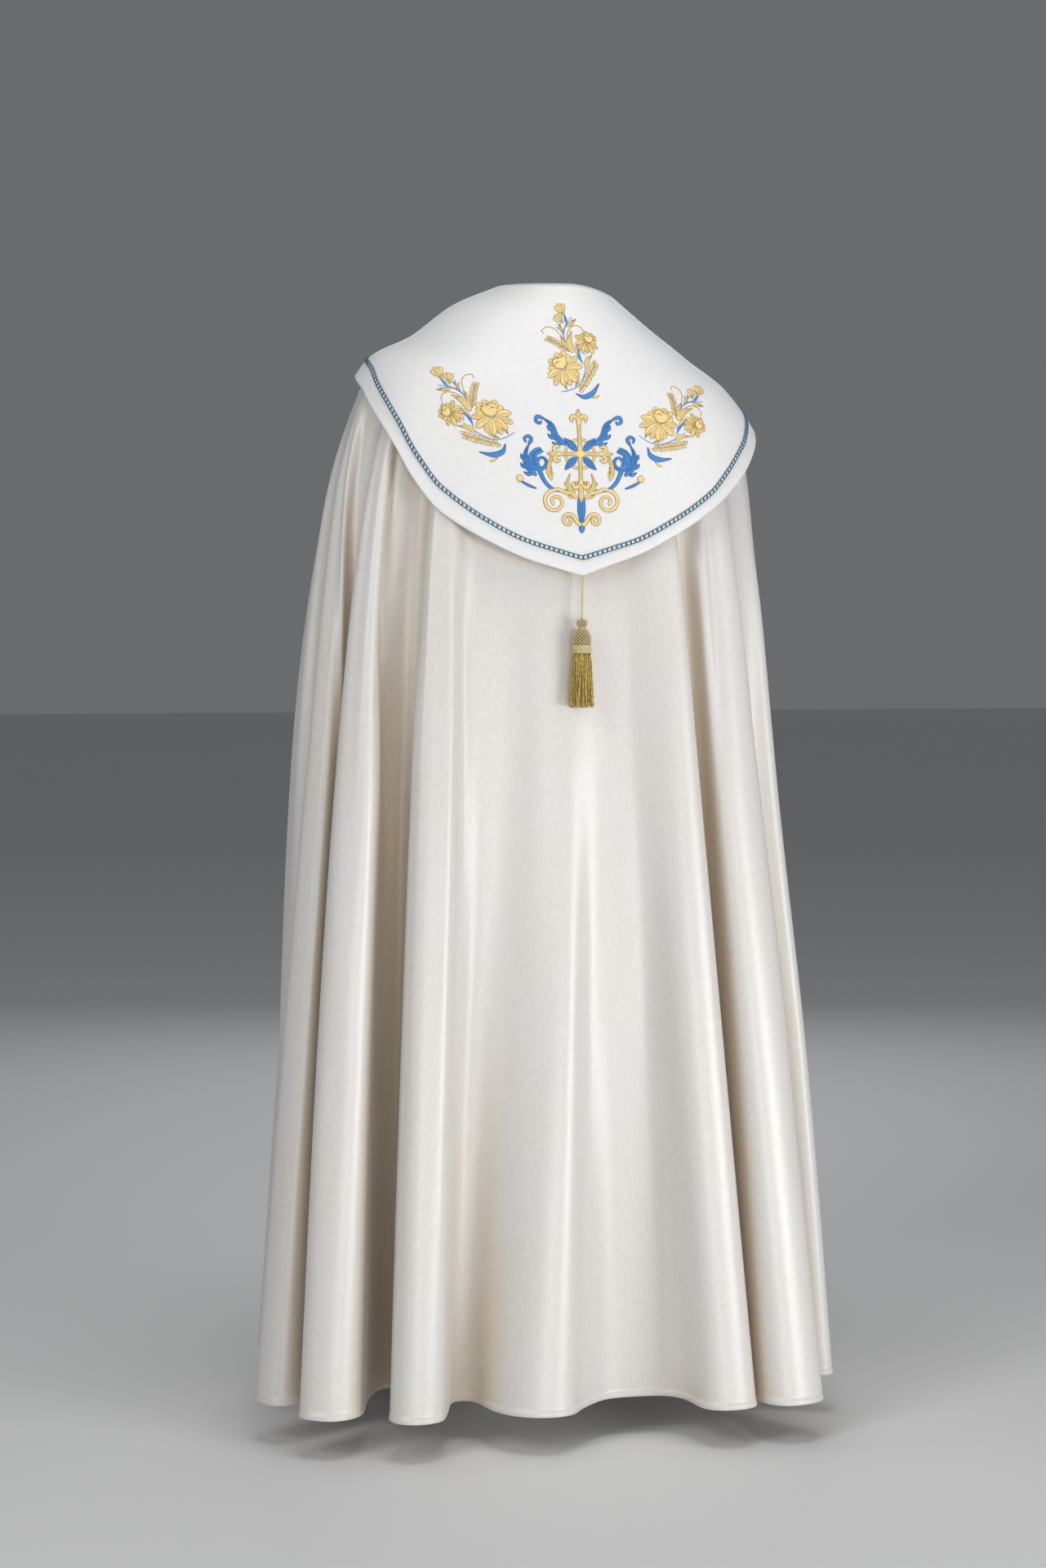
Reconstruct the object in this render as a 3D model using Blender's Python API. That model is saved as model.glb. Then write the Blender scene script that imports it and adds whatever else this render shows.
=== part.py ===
"""A cope: a half-circle cloak with a wide pointed hood, an edging braid and a tassel, worn shape.

Metres. +Z is up, the front faces -Y, the wearer's left is +X, and the origin is the middle of
the neck opening.
"""

import math

import bmesh
import bpy
import numpy as np

# Cut
CLOAK_LENGTH = 1.495      # neck seam to hem, measured on the cloth
CLOAK_WALL = 0.002        # satin with its turned back
HOOD_WALL = 0.0025        # stiffened, so a little thicker
SEAM_GAP = 0.0003         # left between pieces that are sewn or lie together
BRAID_WIDTH = 0.006
BRAID_WALL = 0.0014
BRAID_SEAT = 0.0008        # couched on thread, so a little off the hood
BRAID_INSET = 0.025       # from the hood's edge to the middle of the braid
CLASP_WIDTH = 0.150       # the tab that holds the two fronts together
CLASP_HEIGHT = 0.046
CLASP_Z = -0.105          # height of its middle
CLASP_WALL = 0.0025

# Tassel
CORD_RADIUS = 0.0015
CORD_LENGTH = 0.0535
SKIRT_LENGTH = 0.071
SKIRT_TOP_RADIUS = 0.0105
SKIRT_FOOT_RADIUS = 0.0150
TASSEL_AT = (0.003, 0.1945)


def rows(text):
    """A table as a list of dictionaries, one a row, keyed by the words of the first line."""
    lines = [line.split() for line in text.strip().splitlines()]
    names = lines[0]
    table = []
    for line in lines[1:]:
        cells = [line[0] if name == "name" else float(cell) for name, cell in zip(names, line)]
        table.append(dict(zip(names, cells)))
    return table


# The cloak with its folds taken out, as rings round the wearer: how far down the cloth each ring
# is, how far out it reaches at the back, left, right and front, and its height there. The left
# shoulder is the higher one. square 2 is an ellipse, more is boxier.
RINGS = rows("""
name      down   back_y  back_z  left_x  left_z  right_x right_z front_y front_z square
neck      0.00    0.068   0.012   0.077   0.011   0.077  -0.006   0.080  -0.050  2.0
yoke      0.06    0.100  -0.036   0.134  -0.014   0.119  -0.042   0.108  -0.098  2.0
blade     0.13    0.128  -0.100   0.191  -0.057   0.170  -0.084   0.138  -0.160  2.1
point     0.20    0.148  -0.165   0.247  -0.093   0.218  -0.135   0.162  -0.225  2.2
arm       0.28    0.160  -0.240   0.274  -0.158   0.250  -0.200   0.184  -0.300  2.4
elbow     0.42    0.170  -0.372   0.304  -0.300   0.263  -0.345   0.212  -0.430  2.6
waist     0.72    0.184  -0.670   0.337  -0.618   0.285  -0.650   0.240  -0.700  3.0
knee      1.10    0.202  -1.050   0.358  -1.026   0.323  -1.042   0.255  -1.060  3.5
hem       1.495   0.220  -1.443   0.372  -1.440   0.350  -1.440   0.265  -1.440  4.0
""")

# The cloak's folds, round from the right front edge by the back to the left front edge. r rows
# are crests and v rows hollows. angle is measured from the back, + to the wearer's left, at the
# shoulders, the waist and the hem; out is how far off the ring the fold stands at the waist and the
# hem, round how broad its turn is.
FOLDS = rows("""
name     angle_top angle_waist angle_hem out_waist out_hem round_waist round_hem
edge_r   -170      -169        -167      0.000     0.000   0.012       0.014
r11      -160      -159        -158      0.018     0.035   0.024       0.034
v11      -150      -150        -149     -0.020    -0.045   0.020       0.026
r10      -139      -139        -139      0.022     0.045   0.030       0.046
v10      -128      -128        -128     -0.022    -0.050   0.022       0.030
r9       -117      -117        -117      0.018     0.035   0.034       0.050
v9       -107      -107        -106     -0.018    -0.055   0.022       0.034
r8       -97       -96         -95       0.008    -0.010   0.034       0.046
v8       -87       -86         -84      -0.018    -0.078   0.022       0.034
r7       -76       -75         -72       0.008     0.012   0.034       0.046
v7       -65       -64         -63      -0.022    -0.085   0.026       0.034
r6       -55       -52.5       -52       0.024     0.066   0.050       0.092
v6       -42       -43         -45      -0.032    -0.088   0.026       0.044
r5       -36       -37         -40       0.026     0.055   0.044       0.084
v5       -15       -16         -19      -0.006    -0.044   0.018       0.088
r4       10        10.5        15        0.003     0.038   0.020       0.080
v4       40        36          36       -0.010    -0.046   0.034       0.034
r3       50.5      48.2        46.8      0.030     0.058   0.044       0.066
v3       57        55.5        52.5     -0.050    -0.120   0.028       0.046
r2       67        64          60        0.028     0.062   0.044       0.084
v2       73        69.5        67       -0.030    -0.090   0.022       0.040
r1       81        74          71.5      0.016     0.050   0.040       0.074
v1       92        86          83       -0.014    -0.070   0.022       0.036
r12      103       97          95        0.016     0.010   0.034       0.046
v12      114       108         105      -0.018    -0.055   0.022       0.034
r13      125       119         116       0.018     0.035   0.034       0.050
v13      134       130         127      -0.022    -0.050   0.022       0.030
r14      144       140         138       0.022     0.045   0.030       0.046
v14      153       151         149      -0.020    -0.045   0.020       0.026
r15      161       159         158       0.018     0.035   0.024       0.034
edge_l   170       169         167       0.000     0.000   0.012       0.014
""")
FOLD_START = 0.17         # the cloth lies smooth over the shoulders down to here
HOOD_SIDE = 0.25          # the folds start to swing round at the hood's side edge
WAIST = 0.72
FOLD_STEPS = 4            # columns between a crest and the next hollow

# How far down the cloth the hood reaches on each side, by the angle from the back: a soft point.
HOOD_REACH = rows("""
angle  right  left
0      0.422  0.422
12     0.411  0.415
25     0.402  0.411
38     0.380  0.402
50     0.347  0.384
57     0.330  0.354
64     0.312  0.310
72     0.290  0.275
80     0.272  0.246
100    0.245  0.220
120    0.225  0.207
140    0.200  0.190
166    0.160  0.158
""")
HOOD_END = 166

# How far the hood's underside stands off the cloak's ring, at the back and on the two shoulders.
HOOD_LIFT = rows("""
down  back   left   right
0.00  0.0010 0.0010 0.0010
0.06  0.0030 0.0020 0.0020
0.13  0.0060 0.0030 0.0040
0.20  0.0100 0.0080 0.0150
0.28  0.0140 0.0120 0.0210
0.42  0.0160 0.0160 0.0220
""")

# The tassel's head, spun: radius and height below its top.
HEAD = rows("""
radius  below
0.0000  0.0000
0.0045  0.0004
0.0068  0.0030
0.0070  0.0066
0.0050  0.0102
0.0054  0.0128
0.0090  0.0160
0.0112  0.0220
0.0116  0.0290
0.0112  0.0338
0.0118  0.0356
0.0118  0.0420
0.0112  0.0436
0.0000  0.0436
""")


def smooth(knots, values, at):
    """A curve through the knots that never overshoots a value, flat where the values turn."""
    x = np.asarray(knots, float)
    y = np.asarray(values, float)
    step = np.diff(x)
    slope = np.diff(y) / step
    tangent = np.zeros(len(x))
    tangent[0] = slope[0]
    tangent[-1] = slope[-1]
    for i in range(1, len(x) - 1):
        if slope[i - 1] * slope[i] > 0:
            before = 2 * step[i] + step[i - 1]
            after = step[i] + 2 * step[i - 1]
            tangent[i] = (before + after) / (before / slope[i - 1] + after / slope[i])
    at = np.clip(np.asarray(at, float), x[0], x[-1])
    i = np.clip(np.searchsorted(x, at, side="right") - 1, 0, len(step) - 1)
    t = (at - x[i]) / step[i]
    start = (1 + 2 * t) * (1 - t) ** 2 * y[i] + t * (1 - t) ** 2 * step[i] * tangent[i]
    end = t * t * (3 - 2 * t) * y[i + 1] + t * t * (t - 1) * step[i] * tangent[i + 1]
    return start + end


def column(table, key, at, by="down"):
    return smooth([row[by] for row in table], [row[key] for row in table], at)


def ring(angle, down):
    """Points of the unfolded cloak and the level direction straight out of it at each."""
    turn = np.radians(angle)
    side = np.sin(turn)
    back = np.cos(turn)
    reach_x = np.where(side >= 0, column(RINGS, "left_x", down), column(RINGS, "right_x", down))
    reach_y = np.where(back >= 0, column(RINGS, "back_y", down), column(RINGS, "front_y", down))
    power = column(RINGS, "square", down)
    reach = (np.abs(side / reach_x) ** power + np.abs(back / reach_y) ** power) ** (-1 / power)
    x = reach * side
    y = reach * back
    back_z = np.where(back >= 0, column(RINGS, "back_z", down), column(RINGS, "front_z", down))
    side_z = np.where(side >= 0, column(RINGS, "left_z", down), column(RINGS, "right_z", down))
    z = back_z * back ** 2 + side_z * side ** 2
    out_x = np.sign(x) * np.abs(x / reach_x) ** (power - 1) / reach_x
    out_y = np.sign(y) * np.abs(y / reach_y) ** (power - 1) / reach_y
    length = np.hypot(out_x, out_y)
    return np.stack([x, y, z], -1), np.stack([out_x / length, out_y / length], -1)


def lifted(angle, down, lift):
    """Points of the unfolded cloak moved straight out of its surface."""
    angle = np.asarray(angle, float)
    down = np.asarray(down, float)
    here = ring(angle, down)[0]
    along = ring(angle + 0.5, down)[0] - ring(angle - 0.5, down)[0]
    below = ring(angle, down + 0.004)[0] - ring(angle, np.maximum(down - 0.004, 0))[0]
    out = np.cross(along, below)
    out /= np.linalg.norm(out, axis=-1, keepdims=True)
    return here + out * np.asarray(lift)[..., None]


def cloak_section(down):
    """One level of the cloak's outer face, from the right front edge round to the left one.

    Each crest and hollow is a node on the level and the cloth runs between them as a cubic
    curve that leaves a node along the ring: by a third of the way to the next where it lies
    smooth, and by the fold's own round lower down.
    """
    knots = [FOLD_START, WAIST, CLOAK_LENGTH]
    turns = [HOOD_SIDE, WAIST, CLOAK_LENGTH]
    grow = float(smooth(knots, [0, 0.6, 1], down))
    angle = np.array([float(smooth(turns, [f["angle_top"], f["angle_waist"], f["angle_hem"]], down))
                      for f in FOLDS])
    out = np.array([float(smooth(knots, [0, f["out_waist"], f["out_hem"]], down)) for f in FOLDS])
    turn = np.array([float(smooth(knots, [0, f["round_waist"], f["round_hem"]], down))
                     for f in FOLDS])
    base, normal = ring(angle, np.full(len(angle), down))
    node = base[:, :2] + out[:, None] * normal
    way = np.stack([normal[:, 1], -normal[:, 0]], -1)
    points = []
    for i in range(len(FOLDS) - 1):
        third = np.linalg.norm(base[i + 1, :2] - base[i, :2]) / 3 * (1 - grow)
        start = node[i]
        end = node[i + 1]
        first = start + way[i] * (third + turn[i])
        second = end - way[i + 1] * (third + turn[i + 1])
        last = i == len(FOLDS) - 2
        for t in np.linspace(0, 1, FOLD_STEPS + 1)[:None if last else -1]:
            flat = (start * (1 - t) ** 3 + 3 * first * t * (1 - t) ** 2
                    + 3 * second * t * t * (1 - t) + end * t ** 3)
            height = ring(angle[i] * (1 - t) + angle[i + 1] * t, down)[0][2]
            points.append((flat[0], flat[1], height))
    return points


def mesh_object(name, points, faces, colour, roughness):
    mesh = bpy.data.meshes.new(name)
    mesh.from_pydata([tuple(map(float, point)) for point in points], [], faces)
    mesh.shade_smooth()
    return add_object(name, mesh, colour, roughness)


def add_object(name, data, colour, roughness):
    obj = bpy.data.objects.new(name, data)
    bpy.context.scene.collection.objects.link(obj)
    material = bpy.data.materials.new(name)
    material.use_nodes = True
    shader = material.node_tree.nodes["Principled BSDF"]
    shader.inputs["Base Color"].default_value = (*colour, 1)
    shader.inputs["Roughness"].default_value = roughness
    material.diffuse_color = (*colour, 1)
    data.materials.append(material)
    return obj


def grid_faces(levels, across):
    faces = []
    for j in range(levels - 1):
        for i in range(across - 1):
            a = j * across + i
            faces.append((a, a + 1, a + across + 1, a + across))
    return faces


def sheet_object(name, grid, wall, colour, roughness, outward=False):
    """Cloth from a grid of points on one face, given its thickness with a Solidify."""
    count, across = grid.shape[:2]
    obj = mesh_object(name, grid.reshape(-1, 3), grid_faces(count, across), colour, roughness)
    thick = obj.modifiers.new("wall", "SOLIDIFY")
    thick.thickness = wall
    thick.offset = 1 if outward else -1
    thick.use_even_offset = True
    return obj


def make_cloak():
    levels = np.concatenate([np.linspace(0, 0.24, 7), np.linspace(0.29, CLOAK_LENGTH, 14)])
    grid = np.array([cloak_section(level) for level in levels])
    return sheet_object("mantle", grid, CLOAK_WALL, (0.66, 0.63, 0.59), 0.45)


def hood_lift(angle, down):
    """The lift at each angle, going from the back's column to the shoulder's by the side."""
    side = np.sin(np.radians(angle))
    back = column(HOOD_LIFT, "back", down)
    shoulder = np.where(side >= 0, column(HOOD_LIFT, "left", down), column(HOOD_LIFT, "right", down))
    return back + (shoulder - back) * side ** 2


def hood_edge(angle):
    turn = np.abs(angle)
    left = column(HOOD_REACH, "left", turn, "angle")
    right = column(HOOD_REACH, "right", turn, "angle")
    return np.where(np.asarray(angle) >= 0, left, right)


def make_hood():
    angles = np.concatenate([np.linspace(-HOOD_END, 0, 27), np.linspace(0, HOOD_END, 27)[1:]])
    share = np.linspace(0, 1, 12)
    angle, part = np.meshgrid(angles, share)
    down = 0.003 + (hood_edge(angle) - 0.003) * part
    grid = lifted(angle, down, hood_lift(angle, down))
    return sheet_object("hood", grid, HOOD_WALL, (0.76, 0.76, 0.76), 0.6, outward=True)


def braid_line(angle):
    """How far down the braid's middle runs, and how much wider its slant makes it there."""
    step = 0.5
    inner = np.sign(angle) * np.maximum(np.abs(angle), 2 * step)
    reach = hood_edge(inner)
    ahead = ring(inner + step, reach)[0] - ring(inner - step, reach)[0]
    slope = (hood_edge(inner + step) - hood_edge(inner - step)) / np.linalg.norm(ahead, axis=-1)
    slant = np.sqrt(1 + slope ** 2)
    return hood_edge(angle) - BRAID_INSET * slant, slant


def make_braid():
    """A flat strip on the hood, the same way in from its edge all round."""
    end = HOOD_END - 1
    angles = np.concatenate([np.linspace(-end, -0.01, 40), np.linspace(0.01, end, 40)])
    centre, slant = braid_line(angles)
    down = np.stack([centre - BRAID_WIDTH / 2 * slant, centre + BRAID_WIDTH / 2 * slant])
    angle = np.stack([angles, angles])
    grid = lifted(angle, down, hood_lift(angle, down) + HOOD_WALL + BRAID_SEAT)
    return sheet_object("hood_braid", grid, BRAID_WALL, (0.05, 0.10, 0.14), 0.5, outward=True)


def make_clasp():
    """A level tab across the two fronts of the hood, under the throat."""
    probe = np.linspace(0.02, 0.25, 60)
    middle = float(np.interp(-CLASP_Z, -ring(180.0, probe)[0][:, 2], probe))
    half = math.degrees(CLASP_WIDTH / 2 / float(column(RINGS, "front_y", middle)))
    heights = CLASP_Z + np.linspace(CLASP_HEIGHT / 2, -CLASP_HEIGHT / 2, 5)
    columns = []
    for turn in np.linspace(180 - half, 180 + half, 13):
        angle = (turn + 180) % 360 - 180
        down = np.interp(-heights, -ring(angle, probe)[0][:, 2], probe)
        columns.append(lifted(angle, down, hood_lift(angle, down) + HOOD_WALL + SEAM_GAP))
    grid = np.stack(columns, 1)
    return sheet_object("clasp", grid, CLASP_WALL, (0.70, 0.68, 0.64), 0.5, outward=True)


def make_cord(top):
    curve = bpy.data.curves.new("tassel_cord", "CURVE")
    curve.dimensions = "3D"
    curve.bevel_depth = CORD_RADIUS
    curve.bevel_resolution = 2
    curve.use_fill_caps = True
    line = curve.splines.new("POLY")
    foot = (TASSEL_AT[0], TASSEL_AT[1], top[2] - CORD_LENGTH)
    line.points.add(5)
    for i, share in enumerate(np.linspace(0, 1, 6)):
        swing = share ** 0.6
        x = top[0] + (foot[0] - top[0]) * swing
        y = top[1] + (foot[1] - top[1]) * swing
        line.points[i].co = (x, y, top[2] - CORD_LENGTH * share, 1)
    return add_object("tassel_cord", curve, (0.60, 0.52, 0.36), 0.6)


def make_head(top_z):
    profile = [(row["radius"], 0, -row["below"]) for row in HEAD]
    edges = [(i, i + 1) for i in range(len(profile) - 1)]
    mesh = bpy.data.meshes.new("tassel_head")
    mesh.from_pydata(profile, edges, [])
    obj = add_object("tassel_head", mesh, (0.36, 0.28, 0.15), 0.6)
    obj.location = (*TASSEL_AT, top_z)
    spin = obj.modifiers.new("spin", "SCREW")
    spin.steps = 24
    spin.render_steps = 24
    spin.use_merge_vertices = True
    spin.merge_threshold = 0.0001
    return obj


def make_skirt(top_z):
    """A disc of backing with a strand drawn down from each of its cells."""
    shape = bmesh.new()
    thick = 0.002
    bmesh.ops.create_cone(shape, cap_ends=True, segments=36, radius1=SKIRT_TOP_RADIUS,
                          radius2=SKIRT_TOP_RADIUS, depth=thick)
    floor = min(shape.faces, key=lambda face: face.calc_center_median().z)
    shape.faces.remove(floor)
    rim = [vert for vert in shape.verts if vert.co.z < 0]
    rim.sort(key=lambda vert: math.atan2(vert.co.y, vert.co.x) % (2 * math.pi))
    levels = [[shape.verts.new((0, 0, -thick / 2))]]
    for radius, count in ((0.0038, 12), (0.0072, 36)):
        turns = [2 * math.pi * k / count for k in range(count)]
        levels.append([shape.verts.new((radius * math.cos(turn), radius * math.sin(turn), -thick / 2))
                       for turn in turns])
    levels.append(rim)
    made = []
    for k in range(12):
        made.append((levels[0][0], levels[1][(k + 1) % 12], levels[1][k]))
    for k in range(12):
        outer = [levels[2][(3 * k + m) % 36] for m in range(4)]
        made.append((levels[1][k], levels[1][(k + 1) % 12], outer[3], outer[2], outer[1], outer[0]))
    for k in range(36):
        made.append((levels[2][k], levels[2][(k + 1) % 36], levels[3][(k + 1) % 36], levels[3][k]))
    roots = [shape.faces.new(loop) for loop in made]
    bmesh.ops.recalc_face_normals(shape, faces=shape.faces[:])
    bmesh.ops.inset_individual(shape, faces=roots, thickness=0.00018)
    width = 1.0
    for share, wider in ((0.25, 1.10), (0.6, 1.25), (1.0, SKIRT_FOOT_RADIUS / SKIRT_TOP_RADIUS)):
        roots = bmesh.ops.extrude_discrete_faces(shape, faces=roots)["faces"]
        for face in roots:
            for vert in face.verts:
                vert.co.x *= wider / width
                vert.co.y *= wider / width
                vert.co.z = -thick / 2 - SKIRT_LENGTH * share
        width = wider
    mesh = bpy.data.meshes.new("tassel_skirt")
    shape.to_mesh(mesh)
    shape.free()
    obj = add_object("tassel_skirt", mesh, (0.30, 0.22, 0.06), 0.55)
    obj.location = (*TASSEL_AT, top_z - thick / 2)
    return obj


for old in list(bpy.data.objects):
    bpy.data.objects.remove(old, do_unlink=True)

make_cloak()
make_hood()
make_braid()
make_clasp()
hood_foot = lifted(0.0, float(hood_edge(0.0)), hood_lift(0.0, float(hood_edge(0.0))) + HOOD_WALL / 2)
cord_top = (float(hood_foot[0]), float(hood_foot[1]), float(hood_foot[2]) - 0.0012)
make_cord(cord_top)
head_top = cord_top[2] - CORD_LENGTH - SEAM_GAP
make_head(head_top)
make_skirt(head_top - HEAD[-1]["below"] - SEAM_GAP)
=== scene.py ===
import math

import bpy
import numpy as np
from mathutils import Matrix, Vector
from mathutils.bvhtree import BVHTree


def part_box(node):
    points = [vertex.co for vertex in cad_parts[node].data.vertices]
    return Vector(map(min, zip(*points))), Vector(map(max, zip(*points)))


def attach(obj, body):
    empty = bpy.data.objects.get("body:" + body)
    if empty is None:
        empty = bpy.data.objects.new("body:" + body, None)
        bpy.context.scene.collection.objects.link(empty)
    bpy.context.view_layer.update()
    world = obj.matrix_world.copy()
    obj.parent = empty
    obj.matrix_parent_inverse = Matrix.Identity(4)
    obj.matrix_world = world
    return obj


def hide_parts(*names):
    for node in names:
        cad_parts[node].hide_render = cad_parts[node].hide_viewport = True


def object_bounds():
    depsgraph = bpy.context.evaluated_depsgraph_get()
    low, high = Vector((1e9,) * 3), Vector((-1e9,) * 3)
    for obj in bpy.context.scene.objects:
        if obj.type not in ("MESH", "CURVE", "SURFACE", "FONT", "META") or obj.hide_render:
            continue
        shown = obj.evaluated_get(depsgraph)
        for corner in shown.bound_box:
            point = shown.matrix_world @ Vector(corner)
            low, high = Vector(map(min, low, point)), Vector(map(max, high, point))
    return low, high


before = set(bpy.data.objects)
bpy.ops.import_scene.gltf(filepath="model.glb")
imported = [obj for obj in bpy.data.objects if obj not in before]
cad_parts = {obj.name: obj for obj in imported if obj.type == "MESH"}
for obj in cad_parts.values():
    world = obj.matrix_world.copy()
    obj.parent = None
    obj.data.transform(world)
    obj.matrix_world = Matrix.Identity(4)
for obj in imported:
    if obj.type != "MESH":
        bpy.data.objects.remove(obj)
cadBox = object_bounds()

dice = np.random.default_rng(11)


def tableOf(text):
    # a table with named columns, a row for each line
    heads, *rows = [line.split() for line in text.strip().splitlines()]
    return [{h: (c if h == "name" else float(c)) for h, c in zip(heads, row)} for row in rows]


def unit(arrows, tiny=0.0):
    return arrows / (np.linalg.norm(arrows, axis=-1, keepdims=True) + tiny)


def lengthAlong(path):
    # how far along a path each of its points lies
    return np.concatenate([[0], np.cumsum(np.linalg.norm(np.diff(path, axis=0), axis=1))])


# the cloak without its folds, ring by ring down the cloth
cloakRings = tableOf("""
name      down  backY backZ  leftX leftZ  rightX rightZ  frontY frontZ  square
neck      0.00  0.068  0.012 0.077  0.011 0.077  -0.006  0.080  -0.050  2.0
yoke      0.06  0.100 -0.036 0.134 -0.014 0.119  -0.042  0.108  -0.098  2.0
blade     0.13  0.128 -0.100 0.191 -0.057 0.170  -0.084  0.138  -0.160  2.1
point     0.20  0.148 -0.165 0.247 -0.093 0.218  -0.135  0.162  -0.225  2.2
arm       0.28  0.160 -0.240 0.274 -0.158 0.250  -0.200  0.184  -0.300  2.4
elbow     0.42  0.170 -0.372 0.304 -0.300 0.263  -0.345  0.212  -0.430  2.6
waist     0.72  0.184 -0.670 0.337 -0.618 0.285  -0.650  0.240  -0.700  3.0
knee      1.10  0.202 -1.050 0.358 -1.026 0.323  -1.042  0.255  -1.060  3.5
hem       1.495 0.220 -1.443 0.372 -1.440 0.350  -1.440  0.265  -1.440  4.0
""")

# crests and hollows, from the right front edge round the back to the left one
cloakFolds = tableOf("""
name     angleTop angleWaist angleHem outWaist outHem roundWaist roundHem
edgeR    -170     -169       -167      0.000    0.000  0.012      0.014
r11      -160     -159       -158      0.018    0.035  0.024      0.034
v11      -150     -150       -149     -0.020   -0.045  0.020      0.026
r10      -139     -139       -139      0.022    0.045  0.030      0.046
v10      -128     -128       -128     -0.022   -0.050  0.022      0.030
r9       -117     -117       -117      0.018    0.035  0.034      0.050
v9       -107     -107       -106     -0.018   -0.055  0.022      0.034
r8        -97      -96        -95      0.008   -0.010  0.034      0.046
v8        -87      -86        -84     -0.018   -0.078  0.022      0.034
r7        -76      -75        -72      0.008    0.012  0.034      0.046
v7        -65      -64        -63     -0.022   -0.085  0.026      0.034
r6        -55      -52.5      -52      0.024    0.066  0.050      0.092
v6        -42      -43        -45     -0.032   -0.088  0.026      0.044
r5        -36      -37        -40      0.026    0.055  0.044      0.084
v5        -15      -16        -19     -0.006   -0.044  0.018      0.088
r4         10       10.5       15      0.003    0.038  0.020      0.080
v4         40       36         36     -0.010   -0.046  0.034      0.034
r3         50.5     48.2       46.8    0.030    0.058  0.044      0.066
v3         57       55.5       52.5   -0.050   -0.120  0.028      0.046
r2         67       64         60      0.028    0.062  0.044      0.084
v2         73       69.5       67     -0.030   -0.090  0.022      0.040
r1         81       74         71.5    0.016    0.050  0.040      0.074
v1         92       86         83     -0.014   -0.070  0.022      0.036
r12       103       97         95      0.016    0.010  0.034      0.046
v12       114      108        105     -0.018   -0.055  0.022      0.034
r13       125      119        116      0.018    0.035  0.034      0.050
v13       134      130        127     -0.022   -0.050  0.022      0.030
r14       144      140        138      0.022    0.045  0.030      0.046
v14       153      151        149     -0.020   -0.045  0.020      0.026
r15       161      159        158      0.018    0.035  0.024      0.034
edgeL     170      169        167      0.000    0.000  0.012      0.014
""")

cloak = {
    "length": 1.495,
    "wall": 0.0016,
    "foldStart": 0.17,         # the folds begin this far down
    "hoodSide": 0.25,          # they keep their angle at the top down to here
    "waist": 0.72,
    "foldsBehind": (8, 22),    # from which fold to which there are more columns
    "columnsBehind": 22,
    "columnsElsewhere": 11,
    "yoke": 0.20,              # the part over the shoulders
    "hemTop": 0.03,            # how far above the hem the rows come closer
    "levels": (14, 73, 4),     # rows of points over the yoke, down the body and above the hem
    "hemTurn": 0.006,          # how far up the rolled hem goes
    "hemProud": 0.0007,
    "hemRows": (0, 0.06, 0.15, 0.4, 0.7, 0.88, 0.97, 1.0),
    "creaseFade": 0.25,        # over what length a crease ends, unless it runs to the hem
    "neckRadius": 0.075,       # of the neck cut out of the half circle
}

# how far down the cloth the hood reaches by the angle from the back, and how far inside that edge
# the braid's middle lies
hoodReach = tableOf("""
angle  right  left   braidRight braidLeft
0      0.422  0.422  0.0240     0.0240
12     0.409  0.415  0.0215     0.0240
25     0.397  0.411  0.0200     0.0240
38     0.378  0.402  0.0200     0.0260
50     0.355  0.384  0.0220     0.0305
57     0.336  0.354  0.0275     0.0320
64     0.314  0.312  0.0325     0.0315
72     0.286  0.275  0.0320     0.0315
80     0.265  0.246  0.0310     0.0325
100    0.240  0.220  0.0290     0.0320
120    0.223  0.207  0.0270     0.0290
140    0.200  0.190  0.0260     0.0265
166    0.160  0.158  0.0250     0.0250
""")
hoodLift = tableOf("""
down  back   left   right
0.00  0.0010 0.0010 0.0010
0.06  0.0030 0.0020 0.0020
0.13  0.0060 0.0030 0.0040
0.20  0.0100 0.0080 0.0150
0.28  0.0140 0.0120 0.0210
0.42  0.0160 0.0160 0.0220
""")
hood = {
    "wall": 0.0025,
    "end": 166,                # the angle at which its front ends stop
    "across": 181,
    "levels": 64,
    "neckSeam": 0.003,
    "rim": 0.006,              # where the finer rows along the edge begin
    "rimRows": (1.0, 0.6, 0.3, 0.12, 0.0),
    "edgeTurn": 0.004,
    "edgeSwell": 0.0006,       # the turned edge is thicker by this much
    "edgeRoll": 0.0012,        # and rolls in by this much
    "edgeRollOver": 0.0018,    # over this much of its end
    "weaveStretch": 1.15,
}


def flow(knots, values, at):
    # a curve through the knots that never overshoots them
    x = np.asarray(knots, float)
    y = np.asarray(values, float)
    step = np.diff(x)
    slope = np.diff(y) / step
    lean = np.zeros(len(x))
    lean[0] = slope[0]
    lean[-1] = slope[-1]
    for i in range(1, len(x) - 1):
        if slope[i - 1] * slope[i] > 0:
            before = 2 * step[i] + step[i - 1]
            after = step[i] + 2 * step[i - 1]
            lean[i] = (before + after) / (before / slope[i - 1] + after / slope[i])
    at = np.clip(np.asarray(at, float), x[0], x[-1])
    i = np.clip(np.searchsorted(x, at, side="right") - 1, 0, len(step) - 1)
    t = (at - x[i]) / step[i]
    low = (1 + 2 * t) * (1 - t) ** 2 * y[i] + t * (1 - t) ** 2 * step[i] * lean[i]
    high = t * t * (3 - 2 * t) * y[i + 1] + t * t * (t - 1) * step[i] * lean[i + 1]
    return low + high


def columnOf(table, key, at, by="down"):
    return flow([row[by] for row in table], [row[key] for row in table], at)


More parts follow.
